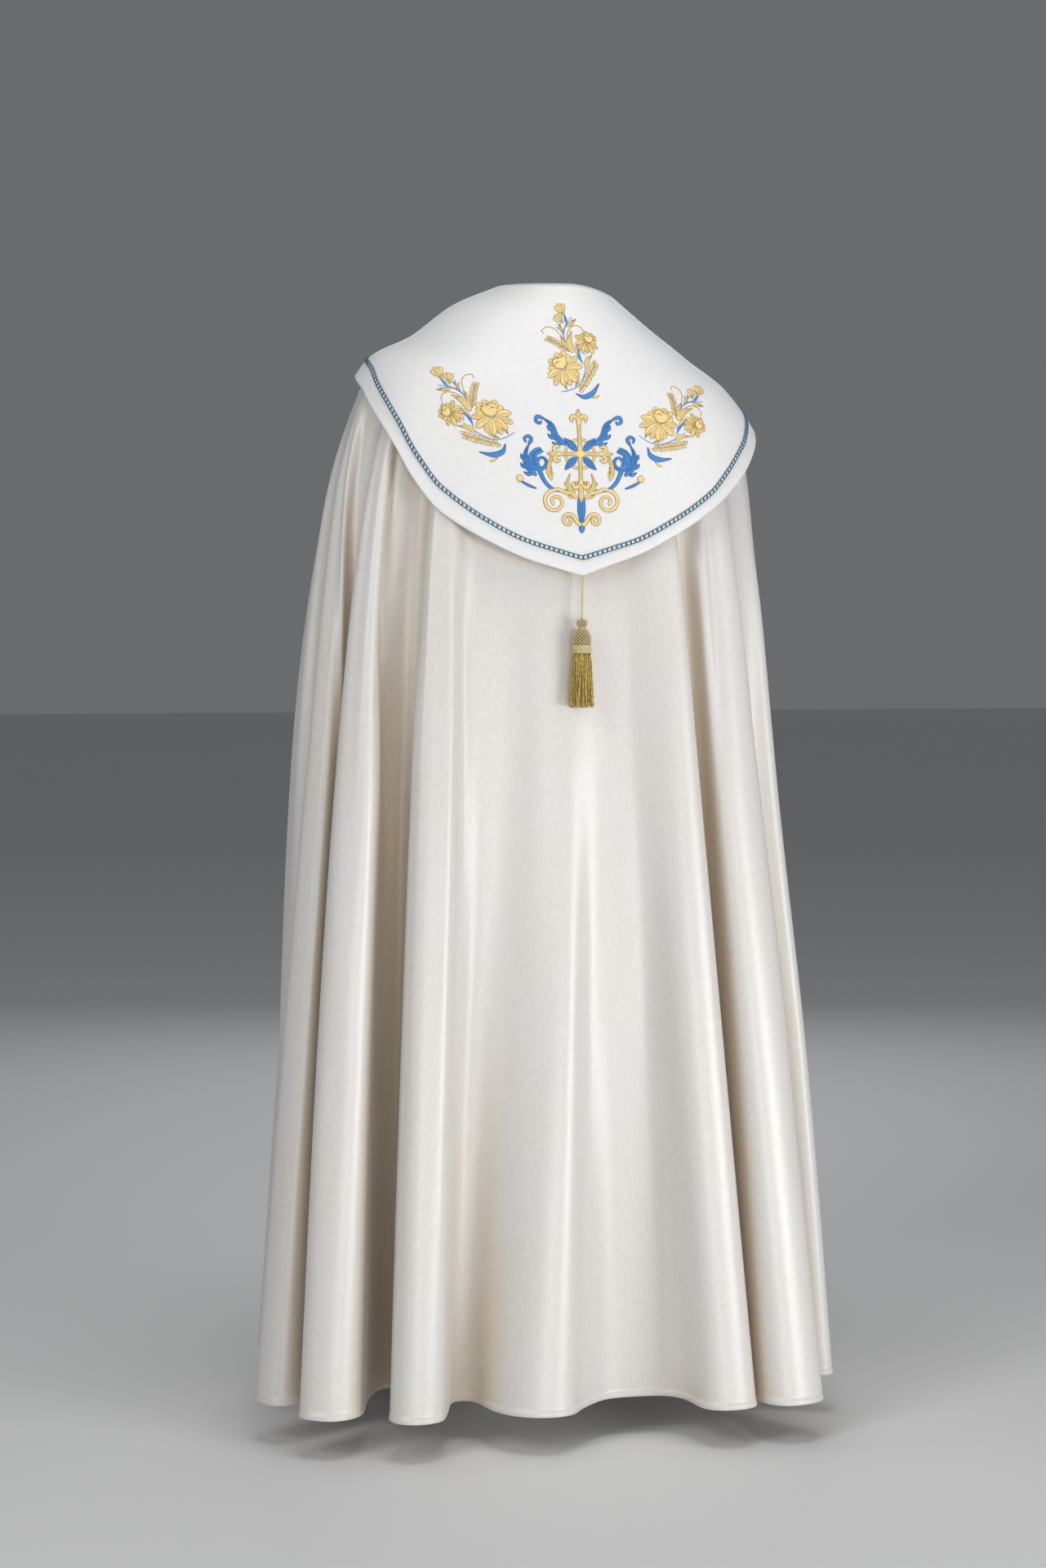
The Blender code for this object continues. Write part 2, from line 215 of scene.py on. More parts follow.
def ringAt(angle, down):
    # a point of the cloak without its folds, and the way out from it
    turn = np.radians(angle)
    side = np.sin(turn)
    back = np.cos(turn)
    ring = {key: columnOf(cloakRings, key, down) for key in cloakRings[0] if key not in ("name", "down")}
    reachX = np.where(side >= 0, ring["leftX"], ring["rightX"])
    reachY = np.where(back >= 0, ring["backY"], ring["frontY"])
    backZ = np.where(back >= 0, ring["backZ"], ring["frontZ"])
    sideZ = np.where(side >= 0, ring["leftZ"], ring["rightZ"])
    power = ring["square"]
    reach = (np.abs(side / reachX) ** power + np.abs(back / reachY) ** power) ** (-1 / power)
    x = reach * side
    y = reach * back
    z = backZ * back ** 2 + sideZ * side ** 2
    outX = np.sign(x) * np.abs(x / reachX) ** (power - 1) / reachX
    outY = np.sign(y) * np.abs(y / reachY) ** (power - 1) / reachY
    size = np.hypot(outX, outY)
    return np.stack([x, y, z], -1), np.stack([outX / size, outY / size], -1)


def liftedAt(angle, down, lift):
    # a point lifted off that surface, whose slope is read a little to each side of it
    angle = np.asarray(angle, float)
    down = np.asarray(down, float)
    nearTurn = 0.5
    nearDown = 0.004
    along = ringAt(angle + nearTurn, down)[0] - ringAt(angle - nearTurn, down)[0]
    below = ringAt(angle, down + nearDown)[0] - ringAt(angle, np.maximum(down - nearDown, 0))[0]
    return ringAt(angle, down)[0] + unit(np.cross(along, below)) * np.asarray(lift)[..., None]


def gridFaces(levels, across):
    j, i = np.meshgrid(np.arange(levels - 1), np.arange(across - 1), indexing="ij")
    a = (j * across + i).ravel()
    return np.stack([a, a + 1, a + across + 1, a + across], 1)


def meshPiece(name, points, faces, material, uv=None):
    mesh = bpy.data.meshes.new(name)
    mesh.from_pydata([tuple(p) for p in np.asarray(points, float).tolist()], [],
                     [tuple(int(v) for v in f) for f in faces])
    mesh.shade_smooth()
    if uv is not None:
        layer = mesh.uv_layers.new(name="cut")
        corner = np.empty(len(mesh.loops), np.int32)
        mesh.loops.foreach_get("vertex_index", corner)
        layer.data.foreach_set("uv", np.asarray(uv, np.float32)[corner].ravel())
    mesh.materials.append(material)
    piece = bpy.data.objects.new(name, mesh)
    bpy.context.scene.collection.objects.link(piece)
    return piece


def clothPiece(name, grid, uv, material, wall):
    # a grid of points made up as cloth, with its wall on the inner side
    piece = meshPiece(name, grid.reshape(-1, 3), gridFaces(*grid.shape[:2]), material, uv.reshape(-1, 2))
    thick = piece.modifiers.new("wall", "SOLIDIFY")
    thick.thickness = wall
    thick.offset = -1
    return piece


def settle(piece, slot, *nodes):
    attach(piece, "root")
    if nodes:
        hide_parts(*nodes)
    return piece


def addNode(tree, kind, place, **values):
    node = tree.nodes.new(kind)
    node.location = place
    for key, value in values.items():
        if key in node.inputs:
            node.inputs[key].default_value = value
        else:
            setattr(node, key, value)
    return node


def wire(tree, *wires):
    for source, output, target, socket in wires:
        tree.links.new(source.outputs[output], target.inputs[socket])


def newMaterial(name, roughness, specular=0.5, sheen=0.0, sheenRoughness=0.5):
    material = bpy.data.materials.new(name)
    material.use_nodes = True
    tree = material.node_tree
    shader = tree.nodes["Principled BSDF"]
    shader.inputs["Roughness"].default_value = roughness
    shader.inputs["Specular IOR Level"].default_value = specular
    shader.inputs["Sheen Weight"].default_value = sheen
    shader.inputs["Sheen Roughness"].default_value = sheenRoughness
    return material, tree, shader


def ramp(tree, place, stops):
    node = tree.nodes.new("ShaderNodeValToRGB")
    node.location = place
    points = node.color_ramp.elements
    while len(points) < len(stops):
        points.new(0.5)
    for point, (at, colour) in zip(points, stops):
        point.position = at
        point.color = (*colour, 1)
    return node


# tones of the slubs in the weave and of the wide soft drift, the tan painted shade down between the folds,
# and how often the weave repeats across and along the cloth
satin = {
    "mantle": {"low": (0.665, 0.625, 0.57), "high": (0.74, 0.708, 0.67), "cool": (0.685, 0.695, 0.72),
               "fold": (0.90, 0.80, 0.67), "grain": (900, 70), "rough": 0.37, "gloss": 0.9, "sheen": 0.4},
    "hood": {"low": (0.775, 0.76, 0.745), "high": (0.845, 0.835, 0.825), "cool": (0.79, 0.805, 0.83),
             "fold": (0.97, 0.94, 0.90), "grain": (70, 900), "rough": 0.46, "gloss": 0.6, "sheen": 0.3},
}


def satinMaterial(name, look):
    material, tree, shader = newMaterial(name, look["rough"], look["gloss"], look["sheen"], 0.3)
    shader.inputs["Sheen Tint"].default_value = (0.86, 0.92, 1.0, 1)
    where = addNode(tree, "ShaderNodeTexCoord", (-1300, 0))
    stretch = addNode(tree, "ShaderNodeMapping", (-1100, 100), Scale=(*look["grain"], 1))
    slub = addNode(tree, "ShaderNodeTexNoise", (-900, 100), Scale=1.0, Detail=4.0, Roughness=0.6)
    tone = ramp(tree, (-700, 100), [(0.35, look["low"]), (0.62, look["high"])])
    drift = addNode(tree, "ShaderNodeTexNoise", (-900, -150), Scale=6.0, Detail=1.0)
    driftTone = ramp(tree, (-700, -150), [(0.38, (0.08, 0.08, 0.08)), (0.72, (0.48, 0.48, 0.48))])
    mix = addNode(tree, "ShaderNodeMix", (-400, 50), data_type="RGBA")
    mix.inputs["B"].default_value = (*look["cool"], 1)
    weave = addNode(tree, "ShaderNodeTexNoise", (-900, -400), Scale=900.0, Detail=2.0)
    both = addNode(tree, "ShaderNodeMath", (-600, -350), operation="ADD")
    bump = addNode(tree, "ShaderNodeBump", (-350, -300), Strength=0.35, Distance=0.0004)
    # painted shade: the silk is darkened and warmed down between the folds, where it only sees its own cloth
    shadeOcclusion = addNode(tree, "ShaderNodeAmbientOcclusion", (-700, 350), Distance=0.11, samples=8)
    paintedShadeTone = ramp(tree, (-500, 350), [(0.30, look["fold"]), (0.78, (1.0, 1.0, 1.0))])
    paintedShadeMix = addNode(tree, "ShaderNodeMix", (-200, 150), data_type="RGBA", blend_type="MULTIPLY", Factor=1.0)
    wire(tree, (where, "UV", stretch, "Vector"), (stretch, "Vector", slub, "Vector"),
         (where, "UV", drift, "Vector"), (where, "UV", weave, "Vector"),
         (slub, "Fac", tone, "Fac"), (drift, "Fac", driftTone, "Fac"),
         (driftTone, "Color", mix, "Factor"), (tone, "Color", mix, "A"),
         (shadeOcclusion, "AO", paintedShadeTone, "Fac"), (mix, "Result", paintedShadeMix, "A"), (paintedShadeTone, "Color", paintedShadeMix, "B"),
         (paintedShadeMix, "Result", shader, "Base Color"), (slub, "Fac", both, 0), (weave, "Fac", both, 1),
         (both, "Value", bump, "Height"), (bump, "Normal", shader, "Normal"))
    return material


def threadMaterial(name, dark, light, roughness, grain=1500.0, sheen=0.2):
    material, tree, shader = newMaterial(name, roughness, sheen=sheen)
    where = addNode(tree, "ShaderNodeTexCoord", (-1000, 0))
    fine = addNode(tree, "ShaderNodeTexNoise", (-800, 0), Scale=grain, Detail=3.0)
    tone = ramp(tree, (-600, 0), [(0.32, dark), (0.66, light)])
    bump = addNode(tree, "ShaderNodeBump", (-350, -250), Strength=0.5, Distance=0.0003)
    wire(tree, (where, "Object", fine, "Vector"), (fine, "Fac", tone, "Fac"),
         (tone, "Color", shader, "Base Color"), (fine, "Fac", bump, "Height"),
         (bump, "Normal", shader, "Normal"))
    return material


mantleSatin = satinMaterial("mantleSatin", satin["mantle"])
hoodSatin = satinMaterial("hoodSatin", satin["hood"])
goldSilk = threadMaterial("goldSilk", (0.76, 0.55, 0.19), (0.97, 0.79, 0.39), 0.36)
# dark cords: a real outline, and partly painted shade along the edges of the gold shapes
goldCordShade = threadMaterial("goldCordShade", (0.24, 0.13, 0.015), (0.50, 0.31, 0.06), 0.42)
blueSilk = threadMaterial("blueSilk", (0.03, 0.17, 0.46), (0.07, 0.31, 0.70), 0.36)
# dark cords: a real outline, and partly painted shade along the edges of the blue shapes
blueCordShade = threadMaterial("blueCordShade", (0.008, 0.045, 0.19), (0.02, 0.10, 0.33), 0.42)
braidDark = threadMaterial("braidDark", (0.012, 0.060, 0.11), (0.05, 0.20, 0.28), 0.5)
braidPale = threadMaterial("braidPale", (0.66, 0.78, 0.80), (0.86, 0.90, 0.90), 0.5)
sewingThread = threadMaterial("sewingThread", (0.60, 0.56, 0.50), (0.78, 0.74, 0.68), 0.5)
cordYarn = threadMaterial("cordYarn", (0.54, 0.44, 0.24), (0.84, 0.74, 0.48), 0.5)
headYarn = threadMaterial("headYarn", (0.48, 0.38, 0.17), (0.84, 0.70, 0.40), 0.42)
# painted shade for the holes of the tassel's net and the gaps of its cord
headShade = threadMaterial("headShade", (0.05, 0.03, 0.01), (0.11, 0.07, 0.03), 0.6)
skirtYarn = threadMaterial("skirtYarn", (0.26, 0.175, 0.025), (0.72, 0.54, 0.15), 0.36, 320.0, 0.1)
print("materials ready")


def foldValues(down, at, keys):
    # one value for each crest and hollow this far down the cloth; a number stands for itself
    rows = [[fold[key] if key in fold else key for key in keys] for fold in cloakFolds]
    return np.array([float(flow(at, row, down)) for row in rows])


def cloakSection(down):
    # one level of the cloak, swung in round curves between its crests and hollows
    knots = [cloak["foldStart"], cloak["waist"], cloak["length"]]
    turns = [cloak["hoodSide"], cloak["waist"], cloak["length"]]
    grow = float(flow(knots, [0, 0.6, 1], down))
    angle = foldValues(down, turns, ("angleTop", "angleWaist", "angleHem"))
    out = foldValues(down, knots, (0, "outWaist", "outHem"))
    turn = foldValues(down, knots, (0, "roundWaist", "roundHem"))
    base, normal = ringAt(angle, np.full(len(angle), down))
    node = base[:, :2] + out[:, None] * normal
    way = np.stack([normal[:, 1], -normal[:, 0]], -1)
    third = np.linalg.norm(base[1:, :2] - base[:-1, :2], axis=1)[:, None] / 3 * (1 - grow)
    start = node[:-1, None]
    end = node[1:, None]
    first = start + (way[:-1] * (third + turn[:-1, None]))[:, None]
    second = end - (way[1:] * (third + turn[1:, None]))[:, None]
    flat = []
    place = []
    firstBehind, lastBehind = cloak["foldsBehind"]
    for i in range(len(cloakFolds) - 1):
        behind = firstBehind <= i <= lastBehind
        count = cloak["columnsBehind" if behind else "columnsElsewhere"]
        t = (np.arange(count) / count)[:, None]
        flat.append(start[i] * (1 - t) ** 3 + 3 * first[i] * t * (1 - t) ** 2
                    + 3 * second[i] * t * t * (1 - t) + end[i] * t ** 3)
        place.append(i + t[:, 0])
    flat = np.concatenate([*flat, node[-1:]])
    place = np.concatenate([*place, [len(cloakFolds) - 1]])
    height = ringAt(np.interp(place, np.arange(len(cloakFolds)), angle), down)[0][:, 2]
    return np.column_stack([flat, height]), place


# soft creases: where along the folds they lie at their top and foot (1 is the first crest after
# the right front edge), from where to where they run down the cloth, over what length they set in,
# how wide they are in the same measure as their place, and how far they stand out
cloakCreases = tableOf("""
name       atTop  atFoot start  end    ease   width  depth
r2Line     18.92  18.80  0.22   0.950  0.16   0.11   0.0045
r2Crest    19.25  19.20  0.26   1.495  0.16   0.16   0.0045
r2Right    18.70  18.66  0.60   1.495  0.16   0.12   0.0055
r2Hollow   18.95  18.92  0.95   1.495  0.16   0.15  -0.0035
r2Edge     20.95  20.10  0.22   0.950  0.16   0.10   0.0055
r2Gap      20.66  19.86  0.22   0.900  0.16   0.20  -0.0050
v3Edge     18.74  18.20  0.26   0.900  0.16   0.13  -0.0080
v3Top      18.68  18.42  0.26   0.720  0.16   0.24  -0.0100
v3Soft     18.35  18.35  0.60   1.495  0.16   0.20  -0.0030
r3Left     17.30  17.22  0.50   1.495  0.16   0.12   0.0045
r3Line     17.10  17.00  0.34   1.495  0.16   0.14   0.0030
r3Hollow   16.97  16.88  0.34   1.450  0.16   0.11  -0.0016
r3Right    16.85  16.76  0.34   1.495  0.16   0.14   0.0032
v4Hollow   16.42  16.50  0.42   1.300  0.16   0.22  -0.0030
v4Line     16.02  16.24  0.36   1.150  0.16   0.17   0.0032
v4Top      16.05  16.03  0.36   0.580  0.16   0.15  -0.0105
v4Soft     15.70  15.75  0.40   1.300  0.16   0.30  -0.0015
v4Dent     15.96  15.92  1.34   1.495  0.16   0.26  -0.0065
r4Ridge    14.72  14.98  0.52   1.495  0.60   0.21   0.0082
r4Facet    14.38  14.64  0.52   1.495  0.60   0.20  -0.0062
v5Ridge    13.92  14.00  0.48   1.495  0.45   0.20   0.0068
r5Hollow   13.42  13.50  0.48   1.495  0.45   0.24  -0.0042
r5Ridge    13.00  13.02  0.42   1.495  0.16   0.19   0.0054
r5Edge     12.70  12.60  0.42   1.495  0.16   0.16  -0.0025
v6Top      12.05  12.00  0.32   0.620  0.16   0.22  -0.0090
v6Low      12.15  12.10  0.80   1.495  0.30   0.30   0.0110
r6Top      11.18  11.22  0.30   0.750  0.16   0.15  -0.0095
r6Left     11.45  11.40  0.36   1.495  0.16   0.23   0.0036
r6Ridge    10.95  11.02  0.45   1.495  0.30   0.23   0.0044
r6Right    10.65  10.70  0.34   1.200  0.16   0.18   0.0036
r6Hollow   10.35  10.45  0.50   1.495  0.16   0.20  -0.0035
backTop    13.41  13.60  0.38   0.660  0.16   0.36  -0.0025
backSoft   14.99  15.04  0.38   0.800  0.16   0.40   0.0015
r1Line     21.05  21.10  0.22   1.495  0.16   0.10   0.0058
r1Hollow   21.45  21.40  0.22   1.495  0.16   0.20  -0.0055
r12Line    22.60  22.60  0.24   1.100  0.16   0.14   0.0045
r13Line    25.25  25.20  0.34   1.300  0.16   0.20   0.0040
r13Hollow  25.60  25.62  0.50   1.495  0.16   0.18  -0.0030
r14Line    26.80  26.84  0.40   1.200  0.16   0.20   0.0035
r15Line    28.80  28.84  0.45   1.495  0.16   0.20   0.0030
r7Line      9.20   9.12  0.36   1.495  0.16   0.20   0.0040
r7Hollow    8.80   8.80  0.40   1.300  0.16   0.18  -0.0035
r8Line      7.10   7.15  0.34   1.200  0.16   0.20   0.0035
r9Line      5.20   5.15  0.36   1.495  0.16   0.20   0.0040
r9Hollow    4.70   4.72  0.45   1.300  0.16   0.18  -0.0030
r10Line     3.15   3.12  0.40   1.495  0.16   0.20   0.0035
r11Line     1.20   1.15  0.45   1.200  0.16   0.20   0.0030
""")


def eased(share):
    share = np.clip(share, 0, 1)
    return share * share * (3 - 2 * share)


def creaseDepth(levels, place):
    # each crease sets in over its ease and fades out at its end, unless it runs to the hem
    depth = np.zeros((len(levels), len(place)))
    for crease in cloakCreases:
        share = (levels - crease["start"]) / (crease["end"] - crease["start"])
        strength = eased((levels - crease["start"]) / crease["ease"])
        if crease["end"] < cloak["length"]:
            strength = strength * eased((crease["end"] - levels) / cloak["creaseFade"])
        at = crease["atTop"] + (crease["atFoot"] - crease["atTop"]) * np.clip(share, 0, 1)
        away = (place[None] - at[:, None]) / crease["width"]
        depth += crease["depth"] * strength[:, None] * np.exp(-away ** 2)
    return depth


def makeMantle():
    length = cloak["length"]
    yokeRows, bodyRows, footRows = cloak["levels"]
    hemTop = length - cloak["hemTop"]
    levels = np.concatenate([
        np.linspace(0, cloak["yoke"], yokeRows, endpoint=False),
        np.linspace(cloak["yoke"], hemTop, bodyRows, endpoint=False),
        np.linspace(hemTop, length - cloak["hemTurn"], footRows, endpoint=False),
        length - cloak["hemTurn"] * (1 - np.array(cloak["hemRows"])),
    ])
    made = [cloakSection(level) for level in levels]
    grid = np.array([m[0] for m in made])
    place = made[0][1]
    out = unit(np.cross(np.gradient(grid, axis=1), np.gradient(grid, axis=0)))
    proud = creaseDepth(levels, place)
    # the rolled hem stands out, all but its first row, and its last row turns in again
    proud[levels >= length - cloak["hemTurn"] * 0.95] += cloak["hemProud"]
    proud[-1] -= cloak["hemProud"] * 0.7
    grid = grid + out * proud[..., None]
    turn = ((place / place[-1])[None] - 0.5) * math.pi
    radius = levels[:, None] + cloak["neckRadius"]
    uv = np.stack([radius * np.sin(turn), radius * np.cos(turn)], -1)
    piece = clothPiece("mantleCloth", grid, uv, mantleSatin, cloak["wall"])
    settle(piece, "mantle_satin", "mantle")
    return grid, out


def bySide(angle, left, right):
    turn = np.abs(angle)
    return np.where(np.asarray(angle) >= 0, columnOf(hoodReach, left, turn, "angle"),
                    columnOf(hoodReach, right, turn, "angle"))


def hoodEdge(angle):
    return bySide(angle, "left", "right")


def hoodLiftAt(angle, down):
    side = np.sin(np.radians(angle))
    back, left, right = [columnOf(hoodLift, key, down) for key in ("back", "left", "right")]
    return back + (np.where(side >= 0, left, right) - back) * side ** 2


def hoodTop(angle, down, above=0.0):
    return liftedAt(angle, down, hoodLiftAt(angle, down) + hood["wall"] + above)


def makeHood():
    end = hood["end"]
    half = hood["across"] // 2
    angles = np.concatenate([np.linspace(-end, 0, half + 1), np.linspace(0, end, half + 1)[1:]])
    rim = np.array(hood["rimRows"]) * hood["edgeTurn"]
    angle, share = np.meshgrid(angles, np.linspace(0, 1, hood["levels"] - len(rim)))
    down = hood["neckSeam"] + (hoodEdge(angle) - hood["rim"] - hood["neckSeam"]) * share
    rimAngle, rimIn = np.meshgrid(angles, rim)
    angle = np.concatenate([angle, rimAngle])
    down = np.concatenate([down, hoodEdge(rimAngle) - rimIn])
    fromEdge = hoodEdge(angle) - down
    swell = hood["edgeSwell"] * np.exp(-((fromEdge - hood["edgeTurn"]) / hood["edgeTurn"]) ** 2)
    roll = -hood["edgeRoll"] * np.clip(1 - fromEdge / hood["edgeRollOver"], 0, 1) ** 2
    grid = hoodTop(angle, down, swell + roll)
    uv = np.stack([grid[..., 0] * hood["weaveStretch"], down], -1)
    piece = clothPiece("hoodCloth", grid, uv, hoodSatin, hood["wall"])
    settle(piece, "hood_satin", "hood")
    return grid


mantleGrid, mantleOut = makeMantle()
hoodGrid = makeHood()
print("mantle and hood cut and hung")


def sweep(path, radius, sides, ups=None, closed=False):
    # a tube along the points, its ring kept level with ups where they are given
    path = np.asarray(path, float)
    tiny = 1e-12
    along = unit(np.roll(path, -1, 0) - np.roll(path, 1, 0) if closed else np.gradient(path, axis=0), tiny)
    if ups is None:
        last = np.array([0.0, 1.0, 0.0]) if abs(along[0, 1]) < 0.9 else np.array([1.0, 0.0, 0.0])
        ups = np.empty_like(path)
        for i, a in enumerate(along):
            last = unit(last - a * (a @ last), tiny)
            ups[i] = last
    else:
        ups = unit(ups - along * np.sum(along * ups, 1, keepdims=True), tiny)
    sideways = np.cross(along, ups)
    turn = (2 * math.pi * np.arange(sides) / sides)[None, :, None]
    radius = np.broadcast_to(np.asarray(radius, float), (len(path),))[:, None, None]
    points = path[:, None] + radius * (np.cos(turn) * ups[:, None] + np.sin(turn) * sideways[:, None])
    faces = []
    count = len(path)
    for i in range(count if closed else count - 1):
        step = sides if i < count - 1 else sides - count * sides
        for k in range(sides):
            a = i * sides + k
            b = i * sides + (k + 1) % sides
            faces.append((a, b, b + step, a + step))
    if not closed:
        faces.append(tuple(range(sides))[::-1])
        faces.append(tuple((count - 1) * sides + k for k in range(sides)))
    return points.reshape(-1, 3), faces


def joined(name, shapes, material):
    points = []
    faces = []
    start = 0
    for some, theirs in shapes:
        points.append(np.asarray(some, float))
        faces.extend(tuple(v + start for v in f) for f in theirs)
        start += len(some)
    return meshPiece(name, np.concatenate(points), faces, material)


braid = {
    "width": 0.0056,
    "seat": 0.0008,            # its middle lies this high on the hood
    "period": 0.0066,          # from one rung to the next
    "step": 0.0006,
    "cord": 0.00058,           # radius of the two edge cords
    "bumps": 3,                # of the edge cords from rung to rung
    "bumpHeight": 0.3,
    "cordLift": 0.0006,
    "bar": 0.0010,
    "barLift": 0.0008,
    "square": 0.0021,          # half of a pale square's side
    "squareFull": 0.0016,      # its sides round off from here out
    "squareRound": 0.7,
    "squareFlat": 0.74,        # the share of its height that is pressed flat
}


def braidLine(angle):
    # how far down the braid's middle lies, and how much its slant lengthens steps across it
    step = 0.5
    inner = np.sign(angle) * np.maximum(np.abs(angle), 2 * step)
    reach = hoodEdge(inner)
    ahead = ringAt(inner + step, reach)[0] - ringAt(inner - step, reach)[0]
    slope = (hoodEdge(inner + step) - hoodEdge(inner - step)) / np.linalg.norm(ahead, axis=-1)
    return hoodEdge(angle) - bySide(angle, "braidLeft", "braidRight"), np.sqrt(1 + slope ** 2)


def evenly(path, step):
    # the points of a path at an even step along it; columns after the first three ride along
    far = lengthAlong(path[:, :3])
    count = max(2, int(round(far[-1] / step)) + 1)
    at = np.linspace(0, far[-1], count)
    return np.stack([np.interp(at, far, path[:, k]) for k in range(path.shape[1])], 1)


def makeBraid():
    half = braid["width"] / 2 - braid["cord"] * 0.6
    lift = braid["cordLift"]
    square = braid["square"]
    full = braid["squareFull"]
    sizes = np.array([braid["squareRound"], 1.0, 1.0, braid["squareRound"]]) * square
    dark = []
    pale = []
    for side in (-1, 1):
        angles = side * np.linspace(0.01, hood["end"] - 1, 400)
        centre, slant = braidLine(angles)
        rows = [hoodTop(angles, centre + shift * slant, braid["seat"]) for shift in (-half, 0.0, half)]
        above = unit(hoodTop(angles, centre, braid["seat"] + 0.01) - rows[1])
        inner, middle, outer, up = np.split(evenly(np.hstack([*rows, above]), braid["step"]), 4, axis=1)
        far = lengthAlong(middle)
        bumps = np.cos(far / braid["period"] * 2 * math.pi * braid["bumps"])
        for edge in (inner, outer):
            dark.append(sweep(edge + up * lift, braid["cord"] * (1 + braid["bumpHeight"] * bumps), 6, up))
        across = unit(outer - inner)
        ahead = unit(np.gradient(middle, axis=0))
        for k in range(int(far[-1] / braid["period"])):
            # a dark rung, then a pale square half way to the next one
            bar, block = [min(int(round((k + part) * braid["period"] / far[-1] * (len(far) - 1))),
                              len(far) - 1) for part in (0.0, 0.5)]
            m, u, a = middle[bar], up[bar], across[bar] * half
            ends = [m - a + u * lift, m + u * braid["barLift"], m + a + u * lift]
            dark.append(sweep(ends, braid["bar"], 6, [u] * 3))
            m, u, f = middle[block], up[block], ahead[block]
            spots = np.array([m + f * x for x in (-square, -full, full, square)])
            shape, faces = sweep(spots, sizes, 8, [u] * 4)
            height = np.sum((shape - np.repeat(spots, 8, 0)) * u, 1, keepdims=True)
            pale.append((shape - u * height * braid["squareFlat"], faces))
    settle(joined("braidLadder", dark, braidDark), "edging_braid", "hood_braid")
    settle(joined("braidSquares", pale, braidPale), "edging_braid")


makeBraid()
print("braid sewn on")


# the hood's outer face, for laying embroidery on it
hoodFace = BVHTree.FromPolygons(hoodGrid.reshape(-1, 3).tolist(), gridFaces(*hoodGrid.shape[:2]).tolist())
mm = 0.001    # the embroidery is drawn in millimetres


def motifPlane(angle, down, turn=0.0, flip=1, size=1.0, tall=1.0):
    # lays points (x to the right as seen, y up) on the hood around one spot
    high = 0.05    # they are dropped on it from this height
    centre = hoodTop(float(angle), float(down))
    normal = unit(hoodTop(float(angle), float(down), 0.01) - centre)
    up = unit(np.array([0, 0, 1.0]) - normal * normal[2])
    right = np.cross(up, normal)
    c = math.cos(math.radians(turn))
    s = math.sin(math.radians(turn))

    def lay(points, above):
        points = np.atleast_2d(np.asarray(points, float))
        above = np.broadcast_to(above, (len(points),))
        laid = np.empty((len(points), 3))
        for i, (x, y) in enumerate(points):
            x, y = flip * x * size * mm, y * tall * size * mm
            a = centre + right * (c * x - s * y) + up * (s * x + c * y) + normal * high
            hit, face, _, _ = hoodFace.ray_cast(Vector(a), Vector(-normal))
            if hit is None:
                hit, face = Vector(a - normal * high), Vector(normal)
            if face.dot(Vector(normal)) < 0:
                face = -face
            laid[i] = np.array(hit) + np.array(face) * above[i]
        return laid, normal

    return lay


stitches = {"gold": [], "goldLine": [], "blue": [], "blueLine": []}
thread = {
    "height": 0.9,             # of a stitched shape along its middle
    "fullWidth": 2.2,          # shapes narrower than this, to each side, are lower
    "sink": 0.05,
    "edge": 0.46,              # radius of the cord round a shape
    "edgeLift": 0.22,
    "vein": 0.30,
    "fine": 0.36,
    "petalEdge": 0.40,
    "lobeEdge": 0.27,
}


def spline(points, count):
    # a smooth run of points through the given ones
    p = np.asarray(points, float)
    if len(p) == 2:
        t = np.linspace(0, 1, count)[:, None]
        return p[0] * (1 - t) + p[1] * t
    far = np.concatenate([[2 * p[0] - p[1]], p, [2 * p[-1] - p[-2]]])
    made = []
    each = max(2, count // (len(p) - 1))
    for i in range(1, len(p)):
        a, b, c, d = far[i - 1], far[i], far[i + 1], far[min(i + 2, len(far) - 1)]
        for t in np.linspace(0, 1, each, endpoint=False):
            made.append(0.5 * ((2 * b) + (c - a) * t + (2 * a - 5 * b + 4 * c - d) * t * t
                               + (3 * b - a - 3 * c + d) * t ** 3))
    made.append(p[-1])
    return np.array(made)


def cord(lay, path, group, radius, above, closed=False):
    laid, normal = lay(path, above * mm)
    ups = np.tile(normal, (len(laid), 1))
    stitches[group].append(sweep(laid, radius * mm, 5, ups, closed))


def line(lay, path, group, thick, height=0.3):
    # a corded line that thins out at both ends
    t = np.linspace(0, 1, len(path))
    cord(lay, path, group, thick * np.clip(0.45 + 6 * np.minimum(t, 1 - t), 0, 1), height)


def waysAlong(path):
    # the ways ahead and to the left at each point of a flat path
    along = unit(np.gradient(path, axis=0), 1e-9)
    return along, np.stack([-along[:, 1], along[:, 0]], 1)


def aimed(angle):
    # the way out at an angle clockwise from straight up, and the way to its right
    a = math.radians(angle)
    return np.array([math.sin(a), math.cos(a)]), np.array([math.cos(a), -math.sin(a)])


def pad(lay, spine, widths, colour, height=thread["height"], count=16, rise=0.0, veins=(),
        edge=thread["edge"]):
    # a satin-stitched shape: a spine with its half width at even steps, domed across, with a cord round it,
    # unless its edge is 0, and cords along it at the given shares of its width; the cords are real, their
    # dark tone is partly painted shade at its edges
    path = spline(spine, count)
    width = flow(np.linspace(0, 1, len(widths)), widths, np.linspace(0, 1, len(path)))[:, None]
    across = waysAlong(path)[1]
    steps = np.array([-1, -0.8, -0.45, 0, 0.45, 0.8, 1])
    full = np.minimum(1, width / thread["fullWidth"])
    flat = (path[:, None] + across[:, None] * (steps[None, :, None] * width[:, :, None])).reshape(-1, 2)
    dome = np.sqrt(np.clip(1 - steps ** 2, 0, 1))[None] * full * height
    laid = lay(flat, (dome.ravel() + rise - thread["sink"]) * mm)[0]
    stitches[colour].append((laid, gridFaces(len(path), len(steps)).tolist()))
    if edge:
        outline = np.concatenate([path + across * width, (path - across * width)[::-1]])
        cord(lay, outline, colour + "Line", edge, rise + thread["edgeLift"], closed=True)
    inner = slice(len(path) // 6, -max(1, len(path) // 6))
    for share in veins:
        top = rise + height * math.sqrt(1 - share * share) * full[inner, 0]
        cord(lay, (path + across * (share * width))[inner], colour + "Line", thread["vein"], top)


